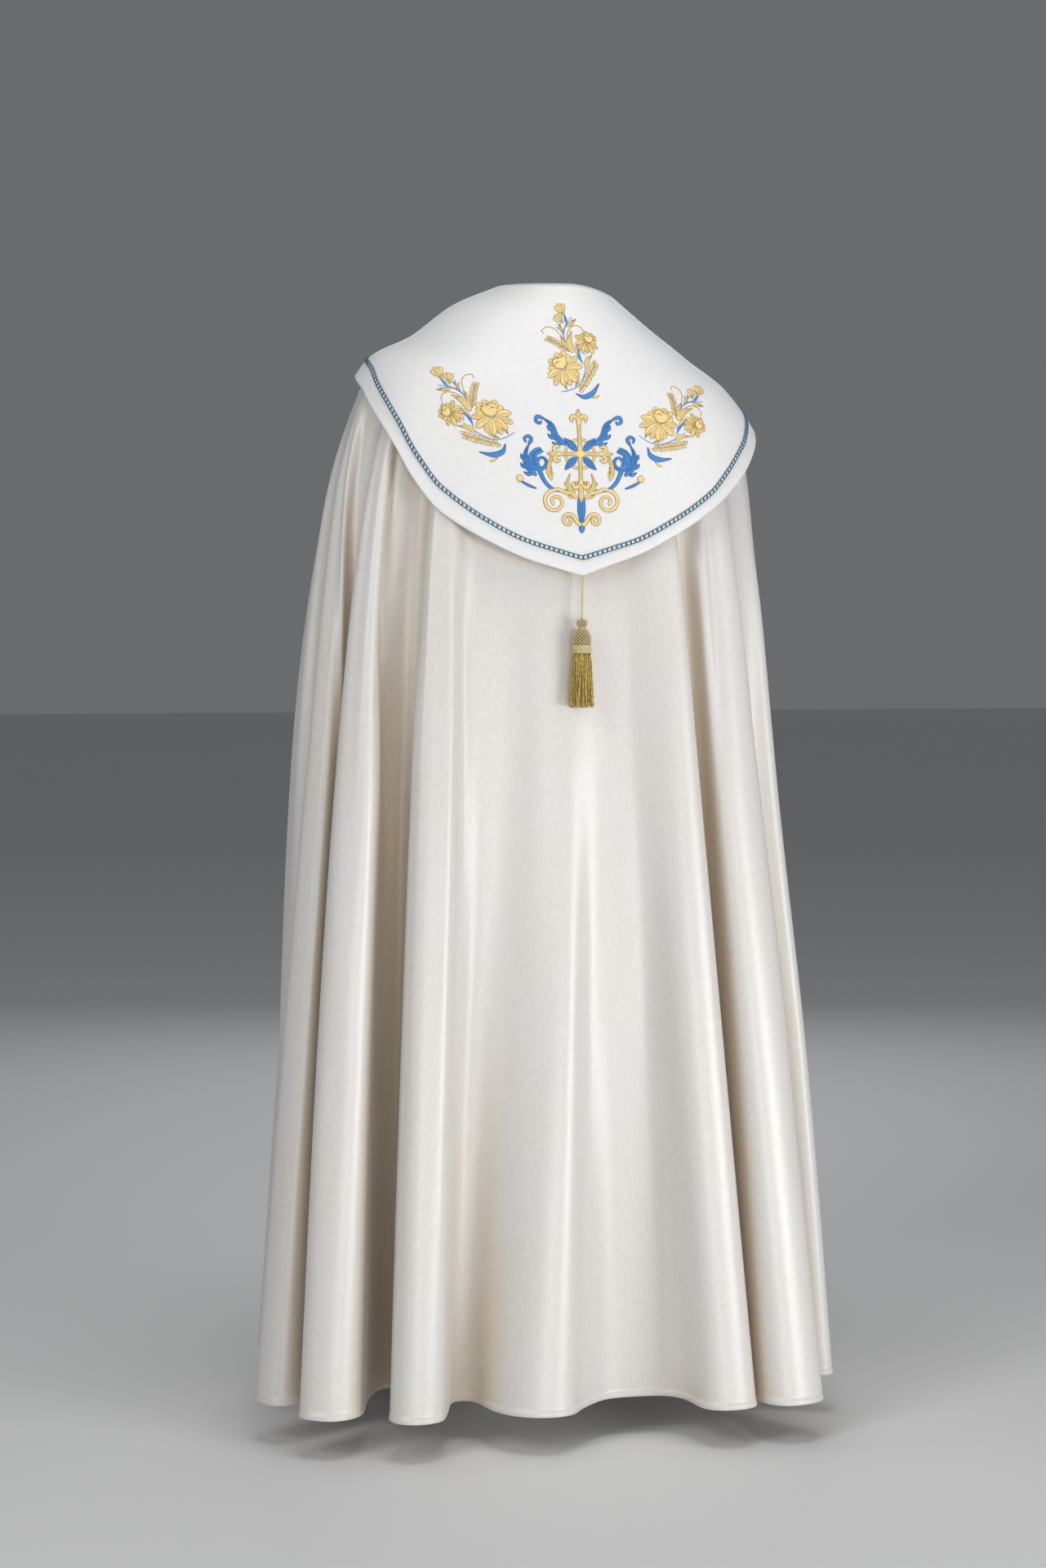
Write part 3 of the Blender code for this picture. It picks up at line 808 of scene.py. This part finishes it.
# half widths at even steps from the foot to the tip, as shares of a length given with the shape
outlines = {
    "petal": np.array([0.28, 0.46, 0.64, 0.80, 0.92, 1.0, 1.0, 0.93, 0.72, 0.16]),
    "bowl": np.array([0.05, 0.16, 0.22, 0.24, 0.20, 0.14, 0.04]),
    "lip": np.array([0.03, 0.10, 0.08, 0.12, 0.03]),
}
droopingPetals = tableOf("""
turn  length width bend
104   0.78   0.16   0.20
256   0.76   0.16  -0.22
136   0.84   0.19   0.20
226   0.88   0.18  -0.16
182   0.82   0.20   0.12
""")


def petalAt(lay, centre, angle, length, width, rise, bend=0.0, veins=(0.0,)):
    # a petal with a round tip
    out, side = aimed(angle)
    c = np.array(centre, float)
    spine = [c + out * length * 0.12, c + out * length * 0.55 + side * bend * 0.30,
             c + out * length + side * bend]
    pad(lay, spine, width * outlines["petal"], "gold", count=14, rise=rise, veins=veins,
        edge=thread["petalEdge"])


def blossom(lay, hub, radius, lean, petals, fan):
    # an open flower seen from one side: broad round petals droop round its foot, short wavy ones stand
    # behind, and a bowl-shaped heart with a rolled lip sits in front of them
    c = np.array(hub, float)
    out, across = aimed(lean)
    foot = c - out * radius * 0.08
    heart = c - out * radius * 0.30
    for droop in droopingPetals:
        petalAt(lay, foot, lean + droop["turn"], radius * droop["length"], radius * droop["width"], 0.0,
                bend=radius * droop["bend"], veins=(0.25,))
    middle = (petals - 1) / 2
    for k in sorted(range(petals), key=lambda k: -abs(k - middle)):
        offset = (k / (petals - 1) - 0.5) * fan
        turned = math.radians(offset)
        length = radius * (1.0 - 0.06 * math.cos(turned) + 0.05 * math.sin(2.3 * k))
        width = radius * (0.155 + 0.02 * (k % 2))
        petalAt(lay, c, lean + offset, length, width, 0.35 - 0.07 * abs(k - middle),
                bend=-radius * 0.24 * math.sin(turned), veins=(0.2,) if k % 2 else (-0.3, 0.35))
    for offset in (205, 152):
        petalAt(lay, heart, lean + offset, radius * 0.44, radius * 0.13, 0.9, bend=radius * 0.08, veins=())
    for shape, height, rise, count, spots in (
            ("bowl", 1.8, 1.0, 16, ((-0.40, -0.10), (0, 0.06), (0.40, -0.06))),
            ("lip", 1.3, 1.9, 18, ((-0.42, -0.18), (-0.10, -0.16), (0.20, -0.26), (0.40, -0.10)))):
        spine = [heart + across * radius * x + out * radius * y for x, y in spots]
        pad(lay, spine, radius * outlines[shape], "gold", height, count, rise)


def bud(lay, foot, angle, size):
    c = np.array(foot, float)
    out = aimed(angle)[0]
    for side in (-1, 1):
        petalAt(lay, c, angle + 20 * side, size, size * 0.22, 0.0, bend=side * size * 0.08, veins=())
    petalAt(lay, c, angle, size * 1.04, size * 0.22, 0.5)
    pad(lay, [c - out * size * 0.16, c, c + out], [0.4, size * 0.12, 0.5], "gold", count=6, rise=0.6)


def blade(lay, spine, width, veins=(0.0,)):
    # a plain leaf, widest a little below its middle
    widths = [width * 0.15, width * 0.8, width, width * 0.75, width * 0.35, 0.12]
    pad(lay, spine, widths, "gold", count=12, veins=veins)


def crescent(lay, spine, width, edge=0):
    # a slim blue leaf, widest past its middle
    pad(lay, spine, [0.15, width * 0.5, width * 0.9, width, width * 0.6, 0.12], "blue",
        height=0.7, edge=edge)


def bobble(lay, spot, size, colour, tip, height=thread["height"]):
    x, y = spot
    pad(lay, [(x - size, y), (x, y), (x + size, y)], [tip, size, tip], colour,
        height=height, count=4, edge=0)


def featherLeaf(lay, spine, width, barbs=7):
    # a leaf of slim lobes that lean towards its tip, each cut off from the next by a dark cord, partly
    # painted shade between the lobes
    path = spline(spine, 4 * barbs)
    along, left = waysAlong(path)
    for side in (-1, 1):
        for k in range(barbs):
            i = int((k + 0.4 + 0.25 * side) * (len(path) - 2) / barbs)
            share = i / (len(path) - 1)
            size = width * (0.55 + 0.9 * share) * (1 - share) ** 0.45 + 1.0
            across = left[i] * side
            tip = path[i] + across * size * 0.72 + along[i] * size * 1.05
            mid = path[i] + (tip - path[i]) * 0.5 - along[i] * size * 0.10 + across * size * 0.10
            pad(lay, [path[i], mid, tip], [0.3, width * 0.15, width * 0.16, 0.15], "gold",
                height=0.6, count=6, edge=thread["lobeEdge"])
    line(lay, path, "goldLine", thread["fine"], 0.6)


def beadCurl(lay, points):
    # a fine curl with a row of bobbles along its inner side
    size = 0.75
    path = spline(points, 36)
    inner = path - waysAlong(path)[1] * size * 1.5
    far = lengthAlong(inner)
    for at in np.linspace(0, far[-1] * 0.94, int(far[-1] / (size * 2.3))):
        bobble(lay, [np.interp(at, far, inner[:, k]) for k in (0, 1)], size, "gold", 0.2, 0.5)
    line(lay, path, "goldLine", thread["fine"])


# the blue stems of a spray: how thick, in how many points, and through where. The first one sweeps in
# from the foot to the small flower, the third climbs to the buds
stems = (
    (0.5, 28, [(-15, -57), (-3, -54), (10, -47), (17, -34), (20, -22)]),
    (0.4, 10, [(3, -38), (7, -41), (10, -46)]),
    (0.75, 24, [(-5, 4), (-9, 14), (-8, 25), (-4, 36), (-6, 46)]),
    (0.4, 10, [(-9, 18), (-13, 24), (-19, 28)]),
    (0.4, 10, [(-9, 22), (-13, 28), (-18, 34)]),
    (0.4, 10, [(-4, 36), (0, 39), (3, 44)]),
    (0.4, 10, [(-4, 34), (1, 36), (5, 40)]),
)


def flowerSpray(angle, down, turn, flip, size, tall):
    lay = motifPlane(angle, down, turn, flip, size, tall)
    for thick, count, points in stems:
        line(lay, spline(points, count), "blue", thick)
    crescent(lay, [(-4, 33), (-6, 39), (-7, 46)], 1.3)
    bud(lay, (-8, 47), -24, 15)
    bud(lay, (-10, 36), -46, 12.5)
    blade(lay, [(-9, 21), (-13, 27), (-13, 34)], 1.9)
    blade(lay, [(-5, 30), (2, 34), (9, 41)], 2.2)
    beadCurl(lay, [(-13, 17), (-22, 26), (-31, 28), (-38, 23), (-35, 18)])
    beadCurl(lay, [(-5, 13), (-3, 23), (4, 31), (13, 31), (19, 24)])
    # leaves between the flowers
    featherLeaf(lay, [(-3, -4), (-13, 3), (-23, 9), (-34, 13)], 6.4)
    blade(lay, [(-3, 0), (-10, 9), (-13, 17)], 2.4)
    blade(lay, [(2, -5), (-2, 8), (2, 24)], 5.0, veins=(-0.35, 0.35))
    blade(lay, [(9, -8), (7, 0), (9, 8)], 1.6, veins=())
    # the small flower on its curved blue stalk
    blossom(lay, (22, 10), 16.2, 205, 7, 205)
    crescent(lay, [(16, 6), (10.5, -2), (12, -12), (17, -20)], 2.1)
    bobble(lay, (18, -6), 1.1, "blue", 0.3)
    bobble(lay, (21, -9), 1.1, "blue", 0.3)
    blade(lay, [(20, -25), (22, -15), (29, -6)], 3.3)
    # the big flower and the leaves at its foot
    blossom(lay, (-10.5, -26.5), 24.2, 145, 8, 215)
    crescent(lay, [(-4, -33), (-1, -39), (0, -47)], 1.9)
    blade(lay, [(2, -33), (8, -39), (5, -49)], 2.6)
    blade(lay, [(-7, -42), (-9, -47), (-7, -53)], 2.2)
    featherLeaf(lay, [(10, -55), (19, -42), (27, -29), (35, -14)], 8.2, 8)
    crescent(lay, [(5, -58), (16, -61.5), (28, -56), (37, -43)], 3.1, edge=thread["edge"])
    pad(lay, [(27, -62), (33, -61), (37, -58)], [0.2, 1.2, 0.2], "gold", count=8, edge=0.3)


def scroll(centre, radius, start, turns, tail):
    # a spiral in to the centre, after a tail that leads up to it
    t = np.linspace(0, 1, 30)
    reach = radius * (1 - 0.82 * t)
    angle = np.radians(start) - 2 * math.pi * turns * t
    path = np.stack([centre[0] + reach * np.cos(angle), centre[1] + reach * np.sin(angle)], 1)
    return np.concatenate([spline([*tail, tuple(path[0])], 14)[:-1], path])


def lobedLeaf(lay, spine, width, colour, lobes, side, veins=(-0.3, 0.35)):
    # a long leaf with a few rounded lobes down one side
    path = spline(spine, 24)
    along, left = waysAlong(path)
    for k in range(lobes):
        i = int((0.16 + 0.20 * k) * (len(path) - 1))
        across = left[i] * side
        size = width * (2.5 - 0.35 * k)
        tip = path[i] + across * size * 0.85 + along[i] * size * 0.95
        mid = path[i] + across * size * 0.62 + along[i] * size * 0.15
        pad(lay, [path[i], mid, tip], [0.8, width * 0.55, width * 0.5, 0.15], colour, height=1.0, count=10)
    widths = [width * 0.4, width * 0.9, width, width * 0.8, width * 0.45, 0.3]
    pad(lay, path, widths, colour, height=1.4, count=36, rise=0.3, veins=veins)


def ornament(angle, down):
    lay = motifPlane(angle, down)
    middle = np.array([0.0, 14.0])
    ringRadius = 19

    def armSpots(turn, *spots):
        # points out from the middle and across, along an arm at this angle clockwise from straight up
        out, side = aimed(turn)
        return [middle + out * far + side * aside for far, aside in spots]

    # a gold cross with three-lobed ends over a gold ring
    turns = np.linspace(0, 2 * math.pi, 37)
    ring = middle + ringRadius * np.stack([np.cos(turns), np.sin(turns)], 1)
    pad(lay, ring, [1.5, 1.5], "gold", height=0.8, count=72)
    for k, arm in enumerate((46, 30, 40, 30)):
        turn = 90 * k
        pad(lay, armSpots(turn, (4, 0), (arm / 2, 0), (arm, 0)), [3.0, 2.1, 1.9, 2.1, 3.0], "gold",
            height=1.3, count=14, rise=0.5, veins=(0.0,))
        for side in (-1, 1):
            lobe = armSpots(turn, (arm - 1, side), (arm + 4, side * 6), (arm + 1, side * 10),
                            (arm - 4, side * 8))
            pad(lay, lobe, [1.4, 2.2, 1.9, 1.0], "gold", height=1.0, count=14, rise=0.5)
        pad(lay, armSpots(turn, (arm, 0), (arm + 6, 0), (arm + 13, 0)), [1.2, 3.0, 0.25], "gold",
            height=1.1, count=10, rise=0.6, veins=(0.0,))
        # a blue leaf between each two arms, bent a little
        leaf = armSpots(turn + 45, (7, 0), (17, 0), (29, 0))
        leaf[1][0] += 0.8 * aimed(turn + 45)[0][1]
        pad(lay, leaf, [1.0, 4.0, 4.4, 3.0, 0.25], "blue",
            height=1.2, count=14, rise=0.2, veins=(-0.4, 0.4))
    pad(lay, armSpots(0, (-6, 0), (0, 0), (6, 0)), [0.5, 5.4, 5.6, 0.5], "gold",
        height=1.6, count=10, rise=0.9)
    for side in (1, -1):
        def put(points):
            return [(side * x, y) for x, y in points]
        # the blue scroll with lobed leaves outside it, and a gold ball at its foot
        body = put(scroll((52, 4), 15, 96, 1.25, [(22, -34), (36, -32), (47, -22), (54, -6), (60, 12)]))
        pad(lay, body, [1.2, 2.6, 3.6, 3.2, 2.4, 1.8, 1.4, 2.4], "blue", height=1.3, count=64, veins=(0.3,))
        for leaf, width, curl in (
                ([(58, -14), (69, -2), (71, 14), (66, 27)], 3.6,
                 [(66, 27), (63, 33), (67, 37), (72, 34), (70, 29)]),
                ([(19, 26), (31, 37), (36, 52), (48, 62)], 4.0,
                 [(47, 61), (54, 63), (56, 57), (51, 54), (49, 57)])):
            lobedLeaf(lay, put(leaf), width, "blue", 3, -side)
            pad(lay, put(curl), [1.6, 2.0, 1.8, 1.3, 0.9], "blue", height=1.1, count=20, rise=0.3)
        pad(lay, put([(74.5, -18), (79, -18), (83.5, -18)]), [0.4, 4.2, 4.4, 0.4], "gold",
            height=1.8, count=8, rise=0.2)
        pad(lay, put([(58, -31), (68, -27), (77, -22)]), [0.4, 1.6, 0.8], "blue", height=0.8, count=10)
        # gold scrolls below, gold leaves above and between
        gold = put(scroll((34, -48), 15, 70, 1.35, [(5, -22), (10, -36), (20, -36), (30, -32)]))
        pad(lay, gold, [1.0, 1.9, 2.1, 1.9, 1.7, 1.5, 2.3], "gold", height=1.1, count=60, rise=0.2)
        lobedLeaf(lay, put([(6, -44), (14, -34), (17, -22), (14, -12)]), 2.6, "gold", 3, -side, (0.0,))
        lobedLeaf(lay, put([(38, -20), (42, -8), (38, 8), (30, 18)]), 2.3, "gold", 2, side, (0.0,))
        foot = put(scroll((17, -72), 8.5, 120, 1.1, [(1, -78), (6, -74), (10, -67)]))
        pad(lay, foot, [2.2, 2.0, 1.9, 1.6, 1.4, 2.0], "gold", height=1.1, count=40, rise=0.5)
    pad(lay, [(0, -38), (0, -50), (0, -66), (0, -80)], [1.2, 4.6, 5.0, 3.2, 0.4], "blue",
        height=1.3, count=18, veins=(-0.35, 0.35))
    pad(lay, [(0, -30), (0, -40), (0, -50)], [0.5, 3.4, 0.4], "gold",
        height=1.3, count=8, rise=0.7, veins=(0.0,))
    pad(lay, [(0, -76), (0, -82), (0, -88)], [0.6, 3.4, 3.2, 0.5], "blue", height=1.2, count=8, rise=0.2)


# where each spray lies on the hood, how it is turned, and how large and how tall it is
sprays = tableOf("""
angle   down    turn   flip  size   tall
  2.2   0.110   -2.6    1    0.967  1.15
 45.5   0.238   49     -1    0.961  1.21
-44.5   0.225  -56      1    0.970  1.15
""")


def makeEmbroidery():
    for spray in sprays:
        flowerSpray(**spray)
    ornament(0.5, 0.272)
    for group, name, material in (("gold", "embroideryGold", goldSilk),
                                  ("goldLine", "embroideryGoldCordShade", goldCordShade),
                                  ("blue", "embroideryBlue", blueSilk),
                                  ("blueLine", "embroideryBlueCordShade", blueCordShade)):
        piece = settle(joined(name, stitches[group], material), "hood_satin")
        print(name, len(piece.data.polygons), "faces")


makeEmbroidery()
print("embroidery laid on the hood")


hemStitch = {"length": 0.0026, "gap": 0.0014, "thick": 0.00032, "endLift": 0.0001, "middleLift": 0.0004}


def makeHemStitches():
    foot = -4    # the row of the cloth that they follow
    step = (hemStitch["length"] + hemStitch["gap"]) / 4
    path = evenly(np.hstack([mantleGrid[foot], mantleOut[foot]]), step)
    lifts = np.array([[hemStitch["endLift"]], [hemStitch["middleLift"]], [hemStitch["endLift"]]])
    shapes = []
    for i in range(0, len(path) - 3, 4):
        spot, out = path[i:i + 3, :3], path[i:i + 3, 3:]
        shapes.append(sweep(spot + out * lifts, hemStitch["thick"], 4, out))
    settle(joined("hemStitches", shapes, sewingThread), "mantle_satin")


makeHemStitches()
print("hem sewn")


tassel = {
    "x": 0.003, "y": 0.1945,
    "cordY": 0.1873,           # where the cord leaves the hood's point
    "cordLength": 0.0535,
    "cordBow": 0.6,            # under 1 it swings out near its top
    "ply": 0.0009,
    "twist": 0.0027,
    "coreInside": 0.0011,      # the core of painted shade lies this far inside the yarn
    "skirtDown": 0.0430,       # from the top of the head
    "skirt": 0.071,
    "skirtTop": 0.0105,
    "skirtFoot": 0.0165,
    "strand": 0.00062,
    "strands": 190,
    "goldenTurn": 2.39996,     # from each strand to the next, which spreads them evenly
}
headProfile = tableOf("""
radius  below
0.0000  0.0000
0.0045  0.0004
0.0068  0.0030
0.0070  0.0066
0.0050  0.0102
0.0054  0.0128
0.0090  0.0160
0.0112  0.0220
0.0116  0.0290
0.0112  0.0338
0.0118  0.0356
0.0118  0.0420
0.0112  0.0436
""")

# yarn netted both ways round the bell and the knob: from what drop, over what run and turn
headNets = tableOf("""
name  drop    run     turn  count  points  radius
bell  0.0148  0.0195  1.75  16     26      0.00050
knob  0.0006  0.0094  1.20  12     18      0.00052
""")
headBands = {"rings": (0.0108, 0.0122, 0.0137, 0.0346, 0.0356, 0.0418, 0.0430), "ring": 0.0007,
             "upright": (0.0362, 0.0388, 0.0413), "lean": 0.05, "uprights": 60, "thick": 0.0006}


def tasselSpots(radius, turn, z):
    return np.stack([tassel["x"] + radius * np.cos(turn), tassel["y"] + radius * np.sin(turn), z], -1)


def makeTasselCord():
    low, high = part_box("tassel_cord")
    top = np.array([0.0, tassel["cordY"], high.z])
    foot = np.array([tassel["x"], tassel["y"], low.z])
    share = np.linspace(0, 1, 120)
    bow = share ** tassel["cordBow"]
    path = top + (foot - top) * np.stack([bow, bow, share], 1)
    turn = 2 * math.pi * share * tassel["cordLength"] / tassel["twist"] / 2
    plies = []
    for a in (turn, turn + math.pi):
        around = np.stack([np.cos(a), np.sin(a), np.zeros_like(a)], 1) * tassel["ply"] * 0.8
        plies.append(sweep(path + around, tassel["ply"], 7))
    settle(joined("tasselCord", plies, cordYarn), "tassel_cord_yarn", "tassel_cord")
    # a dark heart between the two plies: painted shade in the gaps of the twist
    heart = [sweep(path, tassel["ply"] * 1.1, 7)]
    settle(joined("tasselCordShade", heart, headShade), "tassel_cord_yarn")


def makeTasselHead(topZ):
    # a core in near-black painted shade, seen through the holes of the yarn netted on the knob and the bell,
    # and banded below
    below = [row["below"] for row in headProfile]
    wide = [row["radius"] for row in headProfile]

    def headAt(drop, turn, above=0.0):
        return tasselSpots(np.interp(drop, below, wide) + above, turn, topZ - drop)

    turns, drops = np.meshgrid(np.linspace(0, 2 * math.pi, 33), np.linspace(0.0, below[-1], 50))
    core = headAt(drops, turns, -tassel["coreInside"])
    piece = meshPiece("tasselCoreShade", core.reshape(-1, 3), gridFaces(*core.shape[:2])[:, ::-1], headShade)
    settle(piece, "tassel_head_yarn", "tassel_head")
    yarn = []
    for net in headNets:
        t = np.linspace(0, 1, int(net["points"]))
        for way in (-1, 1):
            for k in range(int(net["count"])):
                turn = way * t * net["turn"] + 2 * math.pi * k / net["count"]
                yarn.append(sweep(headAt(net["drop"] + t * net["run"], turn), net["radius"], 5))
    loop = np.linspace(0, 2 * math.pi, 40, endpoint=False)
    for drop in headBands["rings"]:
        yarn.append(sweep(headAt(np.full(len(loop), drop), loop), headBands["ring"], 6, closed=True))
    for k in range(headBands["uprights"]):
        a = 2 * math.pi * k / headBands["uprights"]
        spots = headAt(np.array(headBands["upright"]), np.array([a, a + headBands["lean"], a]))
        yarn.append(sweep(spots, headBands["thick"], 5))
    settle(joined("tasselNet", yarn, headYarn), "tassel_head_yarn")


def makeTasselSkirt(topZ):
    # strands hang from the band and part a little at the foot
    strands = []
    for k in range(tassel["strands"]):
        share = math.sqrt((k + 0.5) / tassel["strands"])
        topR = tassel["skirtTop"] * share
        footR = tassel["skirtFoot"] * share * (0.94 + 0.1 * dice.random())
        length = tassel["skirt"] * (0.93 + 0.07 * dice.random())
        t = np.linspace(0, 1, 12)
        swell = topR + (footR - topR) * t ** 0.8 + 0.0006 * np.sin(t * 5 + dice.random() * 6)
        sway = k * tassel["goldenTurn"] + 0.12 * np.sin(t * 3 + dice.random() * 6) * t
        path = tasselSpots(swell, sway, topZ - tassel["skirtDown"] - length * t)
        strands.append(sweep(path, tassel["strand"] * (1 + 0.18 * np.sin(t * 60 + k)), 5))
    settle(joined("tasselSkirt", strands, skirtYarn), "tassel_yarn", "tassel_skirt")


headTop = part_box("tassel_head")[1].z
makeTasselCord()
makeTasselHead(headTop)
makeTasselSkirt(headTop)
print("tassel hung")


clasp = {
    "width": 0.150,
    "height": 0.046,
    "z": -0.105,
    "wall": 0.0025,
    "cloth": 0.0016,
    "gap": 0.0003,
    "columns": 60,
    "rows": 24,
    "columnWidth": 0.0026,
    "puff": 0.0008,            # how far it swells up from its edge
    "puffOver": 0.004,
    "seam": 0.0006,            # how deep the line of stitching sinks in
    "seamIn": 0.006,
    "seamWidth": 0.0012,
}


def makeClasp():
    probe = np.linspace(0.02, 0.25, 60)
    middle = float(np.interp(-clasp["z"], -ringAt(180.0, probe)[0][:, 2], probe))
    half = math.degrees(clasp["width"] / 2 / float(columnOf(cloakRings, "frontY", middle)))
    rows, count = clasp["rows"], clasp["columns"]
    heights = clasp["z"] + np.linspace(clasp["height"] / 2, -clasp["height"] / 2, rows)
    columns = []
    for k, turn in enumerate(np.linspace(180 - half, 180 + half, count)):
        angle = (turn + 180) % 360 - 180
        down = np.interp(-heights, -ringAt(angle, probe)[0][:, 2], probe)
        edge = np.minimum(min(k, count - 1 - k) * clasp["columnWidth"],
                          clasp["height"] / 2 - np.abs(heights - clasp["z"]))
        puff = clasp["puff"] * (np.clip(edge / clasp["puffOver"], 0, 1) - 1)
        seam = clasp["seam"] * np.exp(-((edge - clasp["seamIn"]) / clasp["seamWidth"]) ** 2)
        columns.append(hoodTop(angle, down, clasp["gap"] + clasp["wall"] + puff - seam))
    grid = np.stack(columns, 1)
    uv = np.stack(np.meshgrid(np.linspace(0, clasp["width"], count),
                              np.linspace(0, clasp["height"], rows)), -1)
    piece = clothPiece("claspTab", grid, uv, mantleSatin, clasp["cloth"])
    settle(piece, "mantle_satin", "clasp")


makeClasp()
print("clasp fastened")


view = {"distance": 3.95, "yaw": 11.0, "pitch": 3.19, "height": -0.430, "pan": -0.63, "lens": 67.33,
        "floorBelow": 0.05}


def makeCamera():
    camera = bpy.data.cameras.new("camera")
    camera.lens = view["lens"]
    camera.sensor_width = 36
    camera.clip_end = 100
    holder = bpy.data.objects.new("camera", camera)
    bpy.context.scene.collection.objects.link(holder)
    yaw = math.radians(view["yaw"])
    holder.location = (view["distance"] * math.sin(yaw), view["distance"] * math.cos(yaw), view["height"])
    holder.rotation_euler = (math.radians(90 - view["pitch"]), 0, math.pi - yaw - math.radians(view["pan"]))
    bpy.context.scene.camera = holder


# soft lights: where each one stands, what it points at, its size and its power
lights = tableOf("""
name       x     y     z     aimX  aimZ  wide  tall  power
rightLow  -2.4   2.9  -1.0   0.0   -1.1  1.4   0.8   46
rightKey  -2.2   3.3  -0.5   0.0   -0.8  1.2   2.0   10
leftHigh   2.4   2.4   1.9   0.1   -0.2  1.4   1.4   28
leftMid    2.9   2.4   0.5   0.1   -0.3  1.2   1.2   19
frontLow   0.2   4.4  -1.1   0.0   -1.1  1.6   0.7   32
rightHigh -2.2   2.2   1.9   0.0   -0.3  1.4   1.4   11
top        0.0   0.9   2.6   0.0   -0.2  1.6   1.2   31
farSide   -0.6  -3.4   0.6   0.0   -0.6  2.0   1.6   18
""")


def softLight(name, x, y, z, aimX, aimZ, wide, tall, power):
    lamp = bpy.data.lights.new(name, "AREA")
    lamp.shape = "RECTANGLE"
    lamp.size = wide
    lamp.size_y = tall
    lamp.energy = power
    holder = bpy.data.objects.new(name, lamp)
    bpy.context.scene.collection.objects.link(holder)
    holder.location = (x, y, z)
    holder.rotation_euler = (Vector((aimX, 0, aimZ)) - Vector((x, y, z))).to_track_quat("-Z", "Y").to_euler()


def makeStudio():
    mesh = bpy.data.meshes.new("floor")
    z = cadBox[0].z - view["floorBelow"]
    size = 30
    corners = [(-size, -size, z), (size, -size, z), (size, size, z), (-size, size, z)]
    mesh.from_pydata(corners, [], [(0, 1, 2, 3)])
    material, tree, shader = newMaterial("paleFloor", 0.7, 0.2)
    speckle = addNode(tree, "ShaderNodeTexNoise", (-600, 0), Scale=2.0, Detail=2.0)
    tone = ramp(tree, (-400, 0), [(0.3, (0.74, 0.74, 0.74)), (0.7, (0.78, 0.78, 0.78))])
    wire(tree, (speckle, "Fac", tone, "Fac"), (tone, "Color", shader, "Base Color"))
    mesh.materials.append(material)
    floor = bpy.data.objects.new("floor", mesh)
    bpy.context.scene.collection.objects.link(floor)
    world = bpy.data.worlds.new("studio")
    bpy.context.scene.world = world
    world.use_nodes = True
    backdrop = world.node_tree.nodes["Background"]
    backdrop.inputs["Color"].default_value = (0.62, 0.64, 0.67, 1)
    backdrop.inputs["Strength"].default_value = 0.23
    for light in lights:
        softLight(**light)


makeCamera()
makeStudio()
bpy.context.scene.view_settings.view_transform = "Standard"
print("studio lit")
